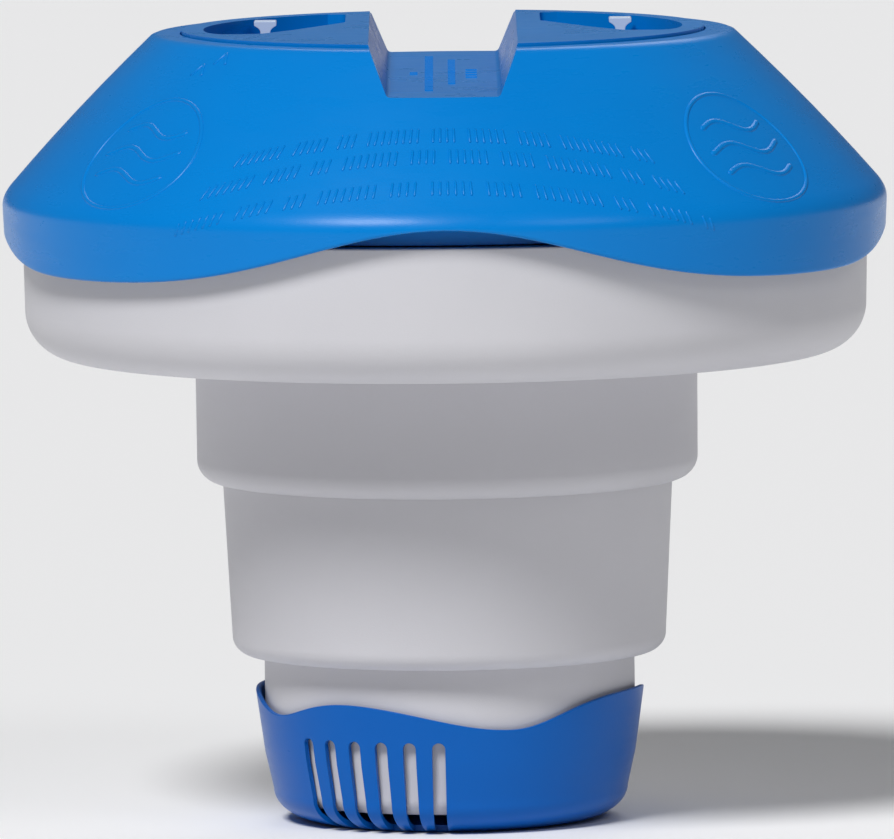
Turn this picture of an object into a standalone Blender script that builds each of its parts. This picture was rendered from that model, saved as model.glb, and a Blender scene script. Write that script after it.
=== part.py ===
"""Floating chlorine dispenser: a blue lid on a ring float, three telescoping sleeves and a flow ring.

Metres, +Z up. The origin is the centre of the flat base of the flow ring, the front is -Y.
Heights are those of the dispenser with its middle sleeve drawn out and its lower sleeve pushed in.
"""

from math import atan2, cos, degrees, exp, pi, radians, sin, sqrt

import bmesh
import bpy
from mathutils import Matrix, Vector

MM = 0.001

# Driving sizes
LID_RADIUS = 101.6 * MM  # the widest part of the lid: 8 inches across
TABLET_RADIUS = 38.1 * MM  # 3-inch tablets
TOP = 182.5 * MM  # height of the lid's flat top
GAP = 0.4 * MM  # clearance between neighbouring pieces

# Walls
LID_WALL = 1.8 * MM
FLOAT_WALL = 1.6 * MM
SLEEVE_WALL = 1.4 * MM
RING_WALL = 1.2 * MM

# Round resolution
LID_SEGMENTS = 72
RING_SEGMENTS = 60
SEGMENTS = 48
SMALL_SEGMENTS = 16
ARC_STEPS = 3
RING_CORNER_STEPS = 5

# Lid outside: flat pad, ledge, domed cone, skirt with a wavy lower edge
SEAM_RADIUS = 60.2 * MM  # middle of the gap between the lid's top and its skirt
LEDGE_DROP = 0.8 * MM
LEDGE_Z = TOP - LEDGE_DROP
LEDGE_RADIUS = 66.6 * MM
CONE_SLOPE = 1.055  # radius gained per height lost, at the ledge
CONE_BEND = 2.8  # how much of that is lost per metre going down, halved
CONE_FOOT_Z = 147.5 * MM
SHOULDER_RADIUS = 100.9 * MM
SHOULDER_Z = 145.2 * MM
WIDEST_Z = 142.8 * MM
SKIRT_LOW_RADIUS = 101.0 * MM
EDGE_LOW_Z = 129.3 * MM
EDGE_FRONT_RISE = 13.9 * MM
EDGE_FRONT_SPREAD = 25.5
EDGE_SIDE_RISE = 6.5 * MM
EDGE_SIDE_SPREAD = 15.0

# Lid: lap under the ledge, wall just above the float's rim, bayonet wall round the neck
LAP_WIDTH = 4.2 * MM
LAP_THICKNESS = 1.5 * MM
LAP_WALL = 2.2 * MM
INNER_WALL_RADIUS = 93.0 * MM
BAYONET_INNER = 72.9 * MM
BAYONET_OUTER = 74.5 * MM
BAYONET_FOOT_Z = 145.0 * MM
LUG_INNER = 70.5 * MM
LUG_LOW_Z = 146.6 * MM
LUG_HIGH_Z = 149.6 * MM
LUG_COUNT = 4
LUG_SPAN = 36.0
LEDGE_SPAN = 40.0

# Cross channel along Y through the top of the lid
CHANNEL_TOP_WIDTH = 33.9 * MM
CHANNEL_FLOOR_WIDTH = 25.6 * MM
CHANNEL_DEPTH = 10.8 * MM
CHANNEL_FLOOR_Z = TOP - CHANNEL_DEPTH

# Finger wells: one in each lobe of the lid, mirrored about the channel
WELL_RADIUS = 55.0 * MM
WELL_BACK_ANGLE = 62.0  # ends of the outer arc, degrees from +X towards the back
WELL_FRONT_ANGLE = -14.0
WELL_CHANNEL_SIDE = 22.5 * MM  # distance of the blunt end from the middle plane
WELL_CORNER = 2.2 * MM
WELL_BACK_Y = 46.7 * MM
WELL_BLUNT_Y = 21.0 * MM  # front end of the blunt end
WELL_SLANT = ((33.0 * MM, -1.5 * MM), (40.5 * MM, -12.5 * MM))  # slanting inner edge
WELL_TIP_X = 50.5 * MM
WELL_TIP_Y = -16.8 * MM
WELL_WALL = 1.5 * MM
WELL_FOOT_Z = 166.3 * MM

# Inner cap: disc on top of the neck, plug skirt inside it
CAP_TOP_Z = 165.6 * MM
CAP_THICKNESS = 1.8 * MM
CAP_UNDER_Z = CAP_TOP_Z - CAP_THICKNESS
CAP_RADIUS = 70.4 * MM
PLUG_OUTER = 67.4 * MM
PLUG_INNER = 64.6 * MM
PLUG_FOOT_Z = 150.0 * MM
SEAL_GROOVE_RADIUS = 66.2 * MM
SEAL_LOW_Z = 152.8 * MM
SEAL_HEIGHT = 2.0 * MM
KEY_WIDTH = 6.0 * MM
KEY_DROP = 2.4 * MM

# Lid pivot, on the main axis
PIVOT_RADIUS = 2.0 * MM
PIVOT_HEAD_RADIUS = 4.4 * MM
PIVOT_HEAD_HEIGHT = 2.2 * MM
PIVOT_TIP_TAPER = 0.8 * MM
PIVOT_RECESS_WIDTH = 0.9 * MM
PIVOT_RECESS_DEPTH = 1.2 * MM
WASHER_RADIUS = 6.0 * MM
WASHER_THICKNESS = 0.9 * MM
SCREW_CLEARANCE = 0.5 * MM  # height of the flow ring's screw above the base
BOSS_RADIUS = 6.0 * MM
BOSS_FOOT_Z = 166.1 * MM

# Latch tabs: a T head and stem in each well, a foot guided under the inner cap
TAB_X = 41.0 * MM
TAB_Y = 28.0 * MM
TAB_TRAVEL = 2.5 * MM
TAB_HEAD_WIDTH = 5.2 * MM
TAB_HEAD_HEIGHT = 1.0 * MM
TAB_HEAD_TAPER = 1.6 * MM  # height over which the head narrows to the stem
TAB_STEM_WIDTH = 2.3 * MM
TAB_DEPTH = 6.0 * MM
FOOT_LENGTH = 7.0 * MM
FOOT_DEPTH = 8.0 * MM
FOOT_TOP_Z = CAP_UNDER_Z - GAP
FOOT_LOW_Z = 159.4 * MM
RAIL_WALL = 1.2 * MM
SPRING_LENGTH = 7.4 * MM
SPRING_RADIUS = 1.5 * MM
SPRING_WIRE = 0.3 * MM
SPRING_TURNS = 5

# Float and neck
FLOAT_TOP_Z = 139.1 * MM
FLOAT_TOP_RADIUS = 97.1 * MM
FLOAT_LOW_RADIUS = 96.7 * MM
FLOAT_FLOOR_Z = 107.7 * MM
FLOAT_CORNER = 11.0 * MM
CENTRE_TUBE_INNER = 58.4 * MM
NECK_OUTER = 70.0 * MM
NECK_INNER = 68.4 * MM
NECK_TOP_Z = CAP_UNDER_Z - GAP
NECK_LEDGE_RADIUS = 72.2 * MM
NECK_LEDGE_HEIGHT = 2.2 * MM
SEAT_INNER = 60.2 * MM

# Sleeves
UPPER_RADIUS = 57.9 * MM
UPPER_LOW_RADIUS = 57.6 * MM
UPPER_FOOT_Z = 78.4 * MM
UPPER_CORNER = 5.2 * MM
UPPER_FLANGE_RADIUS = 67.6 * MM
CLAMP_HEIGHT = 3.0 * MM
CLAMP_INNER = 59.0 * MM
MIDDLE_RADIUS = 51.8 * MM
MIDDLE_LOW_RADIUS = 49.9 * MM
MIDDLE_FOOT_Z = 38.6 * MM
MIDDLE_CORNER = 4.2 * MM
MIDDLE_FLANGE_RADIUS = 55.5 * MM
LOWER_RADIUS = 42.6 * MM
LOWER_FLANGE_RADIUS = 47.6 * MM
LOWER_TOP_Z = 81.0 * MM
LIP_GAP = 0.4 * MM
FLANGE_HEIGHT = 4.0 * MM
MIDDLE_FLANGE_TAPER = 4.4 * MM
LOWER_FLANGE_TAPER = 3.4 * MM
FRICTION_BAND_HEIGHT = 1.4 * MM
FRICTION_BAND_DEPTH = 1.2 * MM

# Flow ring and the foot of the lower sleeve
RING_BASE_RADIUS = 29.0 * MM
RING_CORNER_Z = 7.5 * MM
RING_CORNER_RADIUS = 40.8 * MM
RING_WAIST_Z = 16.0 * MM
RING_WAIST_RADIUS = 42.7 * MM
RING_TOP_RADIUS = 44.8 * MM
RING_HIGH_Z = 31.0 * MM
RING_FLOOR = 1.5 * MM
NARROW_DIP = 4.8 * MM
NARROW_DIP_ANGLE = -64.0
NARROW_DIP_SPREAD = 19.0
WIDE_DIP = 6.6 * MM
WIDE_DIP_ANGLE = 19.0
WIDE_DIP_NEAR_SPREAD = 34.0
WIDE_DIP_FAR_SPREAD = 22.0
SLOT_WIDTH = 3.0 * MM
SLOT_TOP_Z = 21.7 * MM
SLOT_INNER_RADIUS = 32.0 * MM
SLOT_COUNT = 6
SLOT_STEP = 9.0
SLOT_FIRST_ANGLE = -48.6
WINDOW_OFFSET = SLOT_COUNT * SLOT_STEP
WINDOW_WIDTH = 2.6 * MM
WINDOW_LOW_Z = 10.0 * MM
WINDOW_TOP_Z = 20.5 * MM
HUB_RADIUS = 9.0 * MM
HUB_WALL = 1.3 * MM
HUB_FLOOR_Z = 3.6 * MM
HUB_TOP_Z = HUB_FLOOR_Z + RING_FLOOR
LOWER_FLOOR_Z = 4.4 * MM
LOWER_CORNER = 4.5 * MM
LOWER_BEND_Z = 28.0 * MM  # below this the lower sleeve narrows inside the flow ring
LOWER_BOSS_TOP_Z = 9.4 * MM
FLOOR_RIB_COUNT = 8
FLOOR_RIB_WIDTH = 1.6 * MM

# Colours, roughness and metallic of each material
BLUE = (0.004, 0.225, 0.710, 1.0)
DEEP_BLUE = (0.004, 0.170, 0.560, 1.0)
WHITE = (0.640, 0.650, 0.680, 1.0)
TAB_WHITE = (0.520, 0.640, 0.850, 1.0)
BLACK = (0.020, 0.020, 0.022, 1.0)
STEEL = (0.560, 0.560, 0.570, 1.0)


def clear_scene():
    for item in list(bpy.data.objects):
        bpy.data.objects.remove(item, do_unlink=True)


def material(name, colour, roughness, metallic=0.0):
    made = bpy.data.materials.new(name)
    made.use_nodes = True
    shader = made.node_tree.nodes["Principled BSDF"]
    shader.inputs["Base Color"].default_value = colour
    shader.inputs["Roughness"].default_value = roughness
    shader.inputs["Metallic"].default_value = metallic
    made.diffuse_color = colour
    return made


def mesh_object(name, corners, faces):
    """An object whose faces all point outwards."""
    mesh = bpy.data.meshes.new(name)
    mesh.from_pydata(corners, [], faces)
    work = bmesh.new()
    work.from_mesh(mesh)
    bmesh.ops.recalc_face_normals(work, faces=work.faces)
    work.to_mesh(mesh)
    work.free()
    made = bpy.data.objects.new(name, mesh)
    bpy.context.scene.collection.objects.link(made)
    return made


def turned(name, profile_at, segments=SEGMENTS):
    """A closed profile of (radius, height) points carried round Z; profile_at(angle) gives it."""
    corners = []
    rows = []
    for step in range(segments):
        angle = 2 * pi * step / segments
        row = []
        for index, (radius, height) in enumerate(profile_at(angle)):
            if radius == 0 and step > 0:
                row.append(rows[0][index])
                continue
            row.append(len(corners))
            corners.append((radius * cos(angle), radius * sin(angle), height))
        rows.append(row)
    faces = []
    for step, row in enumerate(rows):
        following = rows[(step + 1) % segments]
        for index in range(len(row)):
            after = (index + 1) % len(row)
            face = [row[index], row[after], following[after], following[index]]
            face = list(dict.fromkeys(face))
            if len(face) > 2:
                faces.append(face)
    return mesh_object(name, corners, faces)


def ring(name, inner, outer, low, high, segments=SEGMENTS):
    """A plain ring of rectangular section, or a disc where inner is 0."""
    profile = [(outer, high), (outer, low), (inner, low), (inner, high)]
    return turned(name, lambda angle: profile, segments)


def sector(name, inner, outer, low, high, middle, span, steps=4):
    """A block bent round Z: middle and span in degrees."""
    corners = []
    for step in range(steps + 1):
        angle = radians(middle + span * (step / steps - 0.5))
        for radius, height in ((inner, low), (outer, low), (outer, high), (inner, high)):
            corners.append((radius * cos(angle), radius * sin(angle), height))
    faces = [(0, 1, 2, 3), tuple(4 * steps + side for side in range(4))]
    for step in range(steps):
        for side in range(4):
            after = (side + 1) % 4
            base = 4 * step
            faces.append((base + side, base + after, base + 4 + after, base + 4 + side))
    return mesh_object(name, corners, faces)


def prism(name, outline, low, high, axis="Z"):
    """A straight prism on an outline of two coordinates, from low to high along Z or Y."""
    corners = []
    for level in (low, high):
        for first, second in outline:
            corners.append((first, second, level) if axis == "Z" else (first, level, second))
    count = len(outline)
    faces = [tuple(range(count)), tuple(range(count, 2 * count))]
    for index in range(count):
        after = (index + 1) % count
        faces.append((index, after, count + after, count + index))
    return mesh_object(name, corners, faces)


def box(name, low, high):
    outline = [(low[0], low[1]), (high[0], low[1]), (high[0], high[1]), (low[0], high[1])]
    return prism(name, outline, low[2], high[2])


def combine(target, operation, tool):
    """Join, cut or intersect target with tool, and remove tool."""
    step = target.modifiers.new("combine", "BOOLEAN")
    step.operation = operation
    step.object = tool
    step.solver = "EXACT"
    result = bpy.data.meshes.new_from_object(target.evaluated_get(bpy.context.evaluated_depsgraph_get()))
    target.modifiers.clear()
    target.data = result
    bpy.data.objects.remove(tool, do_unlink=True)
    return target


def add(target, tool):
    return combine(target, "UNION", tool)


def cut(target, tool):
    return combine(target, "DIFFERENCE", tool)


def turn_about_z(item, degrees_round):
    item.data.transform(Matrix.Rotation(radians(degrees_round), 4, "Z"))
    return item


def arc(centre, radius, start, end, steps=ARC_STEPS):
    """Points of (radius, height) round centre, from start to end degrees."""
    points = []
    for step in range(steps + 1):
        angle = radians(start + (end - start) * step / steps)
        points.append((centre[0] + radius * cos(angle), centre[1] + radius * sin(angle)))
    return points


def finish(item, look, sharp_degrees=32):
    """Give a piece its material and shade its round faces smooth."""
    item.data.materials.clear()
    item.data.materials.append(look)
    item.data.shade_smooth()
    item.data.set_sharp_from_angle(angle=radians(sharp_degrees))


def place_origin(item, point):
    """Move a piece's origin to a point on its joint's axis, leaving its shape where it is."""
    offset = Vector(point)
    item.data.transform(Matrix.Translation(-offset))
    item.location = offset


# ------------------------------------------------------------------ lid


def folded_angle(angle):
    """Degrees from the nearer of front and back, 0 to 90."""
    from_front = abs(degrees(atan2(cos(angle), -sin(angle))))
    return min(from_front, 180 - from_front)


def lid_edge(angle):
    """Height of the skirt's wavy edge: high arches at front and back, lower ones at the sides."""
    away = folded_angle(angle)
    front = EDGE_FRONT_RISE * exp(-((away / EDGE_FRONT_SPREAD) ** 2))
    side = EDGE_SIDE_RISE * exp(-(((90 - away) / EDGE_SIDE_SPREAD) ** 2))
    return EDGE_LOW_Z + front + side


def cone_radius(height):
    """Radius of the cone, which is slightly domed."""
    drop = LEDGE_Z - height
    return LEDGE_RADIUS + CONE_SLOPE * drop - CONE_BEND * drop**2


def cone_height(radius):
    """Height at which the cone has that radius."""
    root = sqrt(CONE_SLOPE**2 - 4 * CONE_BEND * (radius - LEDGE_RADIUS))
    return LEDGE_Z - (CONE_SLOPE - root) / (2 * CONE_BEND)


def cone_heights():
    """Heights of the cone's corners below the ledge: thirds of the way down, and its foot."""
    return [LEDGE_Z + (CONE_FOOT_Z - LEDGE_Z) * third / 3 for third in (1, 2, 3)]


def lid_outside(angle):
    """The lid's outer skin, closed below by a plane across the skirt."""
    edge = lid_edge(angle)
    edge_share = (WIDEST_Z - edge) / (WIDEST_Z - EDGE_LOW_Z)
    edge_radius = LID_RADIUS + (SKIRT_LOW_RADIUS - LID_RADIUS) * max(edge_share, 0)
    profile = [(0, TOP), (SEAM_RADIUS, TOP), (SEAM_RADIUS, LEDGE_Z), (LEDGE_RADIUS, LEDGE_Z)]
    profile += [(cone_radius(height), height) for height in cone_heights()]
    profile += [(SHOULDER_RADIUS, SHOULDER_Z), (LID_RADIUS, max(WIDEST_Z, edge + 0.5 * MM))]
    profile += [(edge_radius, edge), (LID_RADIUS - 3 * LID_WALL, edge), (0, EDGE_LOW_Z - LID_WALL)]
    return profile


def lid_inside(angle):
    """The space inside the lid's skin, running out below it."""
    slant = LID_WALL * sqrt(2)
    top = TOP - LID_WALL
    foot = EDGE_LOW_Z - 5 * LID_WALL
    profile = [(0, top), (LEDGE_RADIUS - LID_WALL / 2, top - LEDGE_DROP)]
    profile += [(cone_radius(height), height - slant) for height in cone_heights()]
    profile += [(LID_RADIUS - LID_WALL, SHOULDER_Z - slant), (LID_RADIUS - LID_WALL, foot), (0, foot)]
    return profile


def channel_prism(name, spread):
    """The cross channel as a prism along Y, grown by spread all round."""
    slope = (CHANNEL_TOP_WIDTH - CHANNEL_FLOOR_WIDTH) / 2 / CHANNEL_DEPTH
    above = 8 * MM
    floor_half = CHANNEL_FLOOR_WIDTH / 2 + spread * sqrt(1 + slope * slope) - slope * spread
    top_half = floor_half + slope * (CHANNEL_DEPTH + spread + above)
    floor_z = CHANNEL_FLOOR_Z - spread
    right = [(floor_half, floor_z), (top_half, TOP + above)]
    left = [(-across, height) for across, height in reversed(right)]
    return prism(name, right + left, -1.2 * LID_RADIUS, 1.2 * LID_RADIUS, axis="Y")


def well_outline(grow):
    """The half-moon outline of the right-hand well, grown by grow all round."""
    outline = arc((0, 0), WELL_RADIUS + grow, WELL_FRONT_ANGLE, WELL_BACK_ANGLE, 10)
    blunt_end = WELL_CHANNEL_SIDE - grow
    outline += [
        (blunt_end + WELL_CORNER, WELL_BACK_Y + grow),
        (blunt_end, WELL_BACK_Y - 2 * WELL_CORNER),
        (blunt_end, WELL_BLUNT_Y),
        (blunt_end + WELL_CORNER / 2, WELL_BLUNT_Y - 2 * WELL_CORNER - grow),
    ]
    for x, y in WELL_SLANT:
        outline.append((x - grow, y - grow))
    outline += [(WELL_TIP_X - WELL_CORNER, WELL_TIP_Y - grow), (WELL_TIP_X + grow / 2, WELL_TIP_Y - grow)]
    return outline


def well_prism(name, side, grow, low):
    outline = [(side * x, y) for x, y in well_outline(grow)]
    return prism(name, outline, low, TOP + 4 * MM)


def lid_skin():
    """The lid's skin with the walls of the channel and wells, both still filled."""
    skin = turned("lid_skirt", lid_outside, LID_SEGMENTS)
    hollow = turned("hollow", lid_inside, LID_SEGMENTS)
    cut(hollow, channel_prism("channel_wall", LID_WALL))
    for side in (-1, 1):
        cut(hollow, well_prism("well_wall", side, WELL_WALL, WELL_FOOT_Z))
    return cut(skin, hollow)


def add_lid_walls(skin):
    """Wall over the float's rim, bayonet wall with its lugs, and the pivot's boss."""
    outer = INNER_WALL_RADIUS
    wall_top = cone_height(outer) - LID_WALL / 2
    add(skin, ring("inner_wall", outer - LID_WALL, outer, FLOAT_TOP_Z + GAP, wall_top))
    bayonet_top = cone_height(BAYONET_OUTER) - LID_WALL / 3
    add(skin, ring("bayonet", BAYONET_INNER, BAYONET_OUTER, BAYONET_FOOT_Z, bayonet_top))
    lug_outer = BAYONET_INNER + LID_WALL / 2
    for count in range(LUG_COUNT):
        middle = 360 / LUG_COUNT * count
        add(skin, sector("lug", LUG_INNER, lug_outer, LUG_LOW_Z, LUG_HIGH_Z, middle, LUG_SPAN))
    boss_top = CHANNEL_FLOOR_Z - LID_WALL / 2
    add(skin, ring("boss", 0, BOSS_RADIUS, BOSS_FOOT_Z, boss_top, SMALL_SEGMENTS))


def open_lid(skin):
    """Cut the channel, the wells and the pivot's hole."""
    cut(skin, channel_prism("channel", 0))
    for side in (-1, 1):
        cut(skin, well_prism("well", side, 0, BAYONET_FOOT_Z))
    hole_top = CHANNEL_FLOOR_Z - LID_WALL / 2
    hole_low = BOSS_FOOT_Z - LID_WALL
    cut(skin, ring("hole", 0, PIVOT_RADIUS + GAP, hole_low, hole_top, SMALL_SEGMENTS))


def top_lap():
    """The step of the lid's top that reaches under the ledge, in two halves beside the channel."""
    wall_outer = SEAM_RADIUS - 2 * GAP
    wall_inner = wall_outer - LAP_WALL
    wall_top = LEDGE_Z - LEDGE_DROP / 2
    high = LEDGE_Z - LID_WALL - GAP
    low = high - LAP_THICKNESS
    reach = SEAM_RADIUS + LAP_WIDTH
    profile = [(wall_outer, wall_top), (wall_outer, high), (reach, high)]
    profile += [(reach, low), (wall_inner, low), (wall_inner, wall_top)]
    lap = turned("lap", lambda angle: profile, LID_SEGMENTS)
    return cut(lap, channel_prism("channel_way", LID_WALL + GAP))


def lid_pieces(look):
    """The lid's skirt and its top, two mouldings that meet at the foot of the pad."""
    skirt = lid_skin()
    add_lid_walls(skirt)
    open_lid(skirt)
    top = bpy.data.objects.new("lid_top", skirt.data.copy())
    bpy.context.scene.collection.objects.link(top)
    below = EDGE_LOW_Z - LID_WALL
    above = TOP + LID_WALL
    core = ring("core", 0, SEAM_RADIUS - GAP / 2, below, above, LID_SEGMENTS)
    combine(top, "INTERSECT", core)
    add(top, top_lap())
    cut(skirt, ring("core", 0, SEAM_RADIUS + GAP / 2, below, above, LID_SEGMENTS))
    for piece in (skirt, top):
        finish(piece, look)


def washer(name, high, look):
    """A flat washer round the main axis; gives back the height of its underside."""
    low = high - WASHER_THICKNESS
    finish(ring(name, PIVOT_RADIUS + GAP, WASHER_RADIUS, low, high, SMALL_SEGMENTS), look)
    return low


def lid_pivot(screw_look, washer_look):
    """Screw from below through the inner cap into the lid's boss, with its washer."""
    washer_low = washer("lid_pivot_washer", CAP_UNDER_Z - GAP, washer_look)
    tip = CHANNEL_FLOOR_Z - LID_WALL / 2 - GAP
    finish(screw("lid_pivot_screw", washer_low - GAP, tip), screw_look)


def screw(name, seat, tip):
    """A pan-head screw standing on Z, head below seat, with a cross recess in the head."""
    head_low = seat - PIVOT_HEAD_HEIGHT
    profile = [
        (0, tip),
        (PIVOT_RADIUS * 0.6, tip),
        (PIVOT_RADIUS, tip - PIVOT_TIP_TAPER),
        (PIVOT_RADIUS, seat),
        (PIVOT_HEAD_RADIUS, seat),
        (PIVOT_HEAD_RADIUS, head_low + PIVOT_HEAD_HEIGHT / 3),
        (PIVOT_HEAD_RADIUS * 0.75, head_low),
        (0, head_low),
    ]
    made = turned(name, lambda angle: profile, SMALL_SEGMENTS)
    reach = PIVOT_HEAD_RADIUS * 0.55
    half = PIVOT_RECESS_WIDTH / 2
    for turn in (0, 90):
        blade_top = head_low + PIVOT_RECESS_DEPTH
        blade = box("blade", (-reach, -half, head_low - half), (reach, half, blade_top))
        cut(made, turn_about_z(blade, turn))
    return made


# ------------------------------------------------------------------ inner cap and latches


def lid_inner_cap(look):
    groove_low = SEAL_LOW_Z - GAP
    groove_high = SEAL_LOW_Z + SEAL_HEIGHT + GAP
    profile = [
        (PIVOT_RADIUS + GAP, CAP_TOP_Z),
        (CAP_RADIUS, CAP_TOP_Z),
        (CAP_RADIUS, CAP_UNDER_Z),
        (PLUG_OUTER, CAP_UNDER_Z),
        (PLUG_OUTER, groove_high),
        (SEAL_GROOVE_RADIUS, groove_high),
        (SEAL_GROOVE_RADIUS, groove_low),
        (PLUG_OUTER, groove_low),
        (PLUG_OUTER, PLUG_FOOT_Z + 0.6 * MM),
        (PLUG_OUTER - 0.6 * MM, PLUG_FOOT_Z),
        (PLUG_INNER, PLUG_FOOT_Z),
        (PLUG_INNER, CAP_UNDER_Z),
        (PIVOT_RADIUS + GAP, CAP_UNDER_Z),
    ]
    cap = turned("lid_inner_cap", lambda angle: profile)
    for count in range(LUG_COUNT):
        key_low = (PLUG_OUTER - 0.5 * MM, -KEY_WIDTH / 2, CAP_UNDER_Z - KEY_DROP)
        key_high = (CAP_RADIUS - 0.5 * MM, KEY_WIDTH / 2, CAP_UNDER_Z + 0.5 * MM)
        add(cap, turn_about_z(box("key", key_low, key_high), 45 + 90 * count))
    for side in (-1, 1):
        add_latch_guide(cap, side)
    finish(cap, look)


def sided_box(name, side, low, high):
    """A box given for the right-hand side, mirrored to the left where side is -1."""
    first = side * low[0]
    second = side * high[0]
    return box(name, (min(first, second), low[1], low[2]), (max(first, second), high[1], high[2]))


def add_latch_guide(cap, side):
    """Rails each side of a tab's foot, a stop for its spring, and the slot for its stem."""
    foot_outer = TAB_X + FOOT_LENGTH / 2 + GAP
    stop = TAB_X - FOOT_LENGTH / 2 - SPRING_LENGTH
    top = CAP_UNDER_Z + CAP_THICKNESS / 2
    rail_inner = FOOT_DEPTH / 2 + GAP
    low = FOOT_LOW_Z - GAP
    for direction in (-1, 1):
        edges = sorted((TAB_Y + direction * rail_inner, TAB_Y + direction * (rail_inner + RAIL_WALL)))
        rail_low = (stop - RAIL_WALL, edges[0], low)
        rail_high = (foot_outer, edges[1], top)
        add(cap, sided_box("rail", side, rail_low, rail_high))
    stop_low = (stop - RAIL_WALL, TAB_Y - rail_inner - RAIL_WALL / 2, low)
    stop_high = (stop, TAB_Y + rail_inner + RAIL_WALL / 2, top)
    add(cap, sided_box("stop", side, stop_low, stop_high))
    half_stem = TAB_STEM_WIDTH / 2 + GAP
    slot_low = (TAB_X - half_stem - TAB_TRAVEL, TAB_Y - TAB_DEPTH / 2 - GAP, CAP_UNDER_Z - MM)
    slot_high = (TAB_X + half_stem, TAB_Y + TAB_DEPTH / 2 + GAP, CAP_TOP_Z + MM)
    cut(cap, sided_box("slot", side, slot_low, slot_high))


def cap_seal_ring(look):
    inner = SEAL_GROOVE_RADIUS + GAP
    outer = PLUG_OUTER + 0.55 * MM
    seal = ring("cap_seal_ring", inner, outer, SEAL_LOW_Z, SEAL_LOW_Z + SEAL_HEIGHT)
    finish(seal, look)


def latch_tab(name, side, look):
    """T head and stem as one extrusion along Y, with the guided foot under the cap."""
    head = TAB_HEAD_WIDTH / 2
    stem = TAB_STEM_WIDTH / 2
    head_low = TOP - TAB_HEAD_HEIGHT
    soft = 0.3 * MM
    half = [
        (stem, FOOT_TOP_Z - MM),
        (stem, head_low - TAB_HEAD_TAPER),
        (stem + (head - stem) * 0.35, head_low - TAB_HEAD_TAPER * 0.35),
        (head, head_low),
        (head, TOP - soft),
        (head - soft, TOP),
    ]
    outline = half + [(-x, z) for x, z in reversed(half)]
    outline = [(side * TAB_X + x, z) for x, z in outline]
    tab = prism(name, outline, TAB_Y - TAB_DEPTH / 2, TAB_Y + TAB_DEPTH / 2, axis="Y")
    foot_low = (TAB_X - FOOT_LENGTH / 2, TAB_Y - FOOT_DEPTH / 2, FOOT_LOW_Z)
    foot_high = (TAB_X + FOOT_LENGTH / 2, TAB_Y + FOOT_DEPTH / 2, FOOT_TOP_Z)
    add(tab, sided_box("foot", side, foot_low, foot_high))
    place_origin(tab, (side * TAB_X, TAB_Y, CAP_TOP_Z))
    finish(tab, look)


def latch_spring(name, side, look):
    """A small coil along X between a tab's foot and its stop."""
    start = TAB_X - FOOT_LENGTH / 2 - SPRING_WIRE - GAP
    length = SPRING_LENGTH - 2 * (SPRING_WIRE + GAP)
    centre_z = (FOOT_LOW_Z + FOOT_TOP_Z) / 2
    points_per_turn = 10
    curve = bpy.data.curves.new(name, "CURVE")
    curve.dimensions = "3D"
    curve.bevel_depth = SPRING_WIRE
    curve.bevel_resolution = 0
    curve.use_fill_caps = True
    count = SPRING_TURNS * points_per_turn + 1
    path = curve.splines.new("POLY")
    path.points.add(count - 1)
    for index in range(count):
        angle = 2 * pi * index / points_per_turn
        along = start - length * index / (count - 1)
        across = TAB_Y + SPRING_RADIUS * cos(angle)
        path.points[index].co = (side * along, across, centre_z + SPRING_RADIUS * sin(angle), 1)
    drawn = bpy.data.objects.new(name + "_path", curve)
    bpy.context.scene.collection.objects.link(drawn)
    mesh = bpy.data.meshes.new_from_object(drawn.evaluated_get(bpy.context.evaluated_depsgraph_get()))
    bpy.data.objects.remove(drawn, do_unlink=True)
    work = bmesh.new()
    work.from_mesh(mesh)
    bmesh.ops.remove_doubles(work, verts=work.verts, dist=0.001 * MM)
    bmesh.ops.recalc_face_normals(work, faces=work.faces)
    work.to_mesh(mesh)
    work.free()
    spring = bpy.data.objects.new(name, mesh)
    bpy.context.scene.collection.objects.link(spring)
    finish(spring, look, 60)


# ------------------------------------------------------------------ float


def float_lower_shell(look):
    """A ring-shaped trough: outer wall, rounded corner, floor and centre tube."""
    wall = FLOAT_WALL
    corner_centre = (FLOAT_LOW_RADIUS - FLOAT_CORNER, FLOAT_FLOOR_Z + FLOAT_CORNER)
    tube_top = FLOAT_TOP_Z - FLOAT_WALL - GAP
    profile = [(FLOAT_TOP_RADIUS - wall, FLOAT_TOP_Z), (FLOAT_TOP_RADIUS, FLOAT_TOP_Z)]
    profile += arc(corner_centre, FLOAT_CORNER, 0, -90, 4)
    profile += [(CENTRE_TUBE_INNER, FLOAT_FLOOR_Z), (CENTRE_TUBE_INNER, tube_top)]
    profile += [(CENTRE_TUBE_INNER + wall, tube_top), (CENTRE_TUBE_INNER + wall, FLOAT_FLOOR_Z + wall)]
    profile += arc(corner_centre, FLOAT_CORNER - wall, -90, 0, 4)
    finish(turned("float_lower_shell", lambda angle: profile), look)


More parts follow.
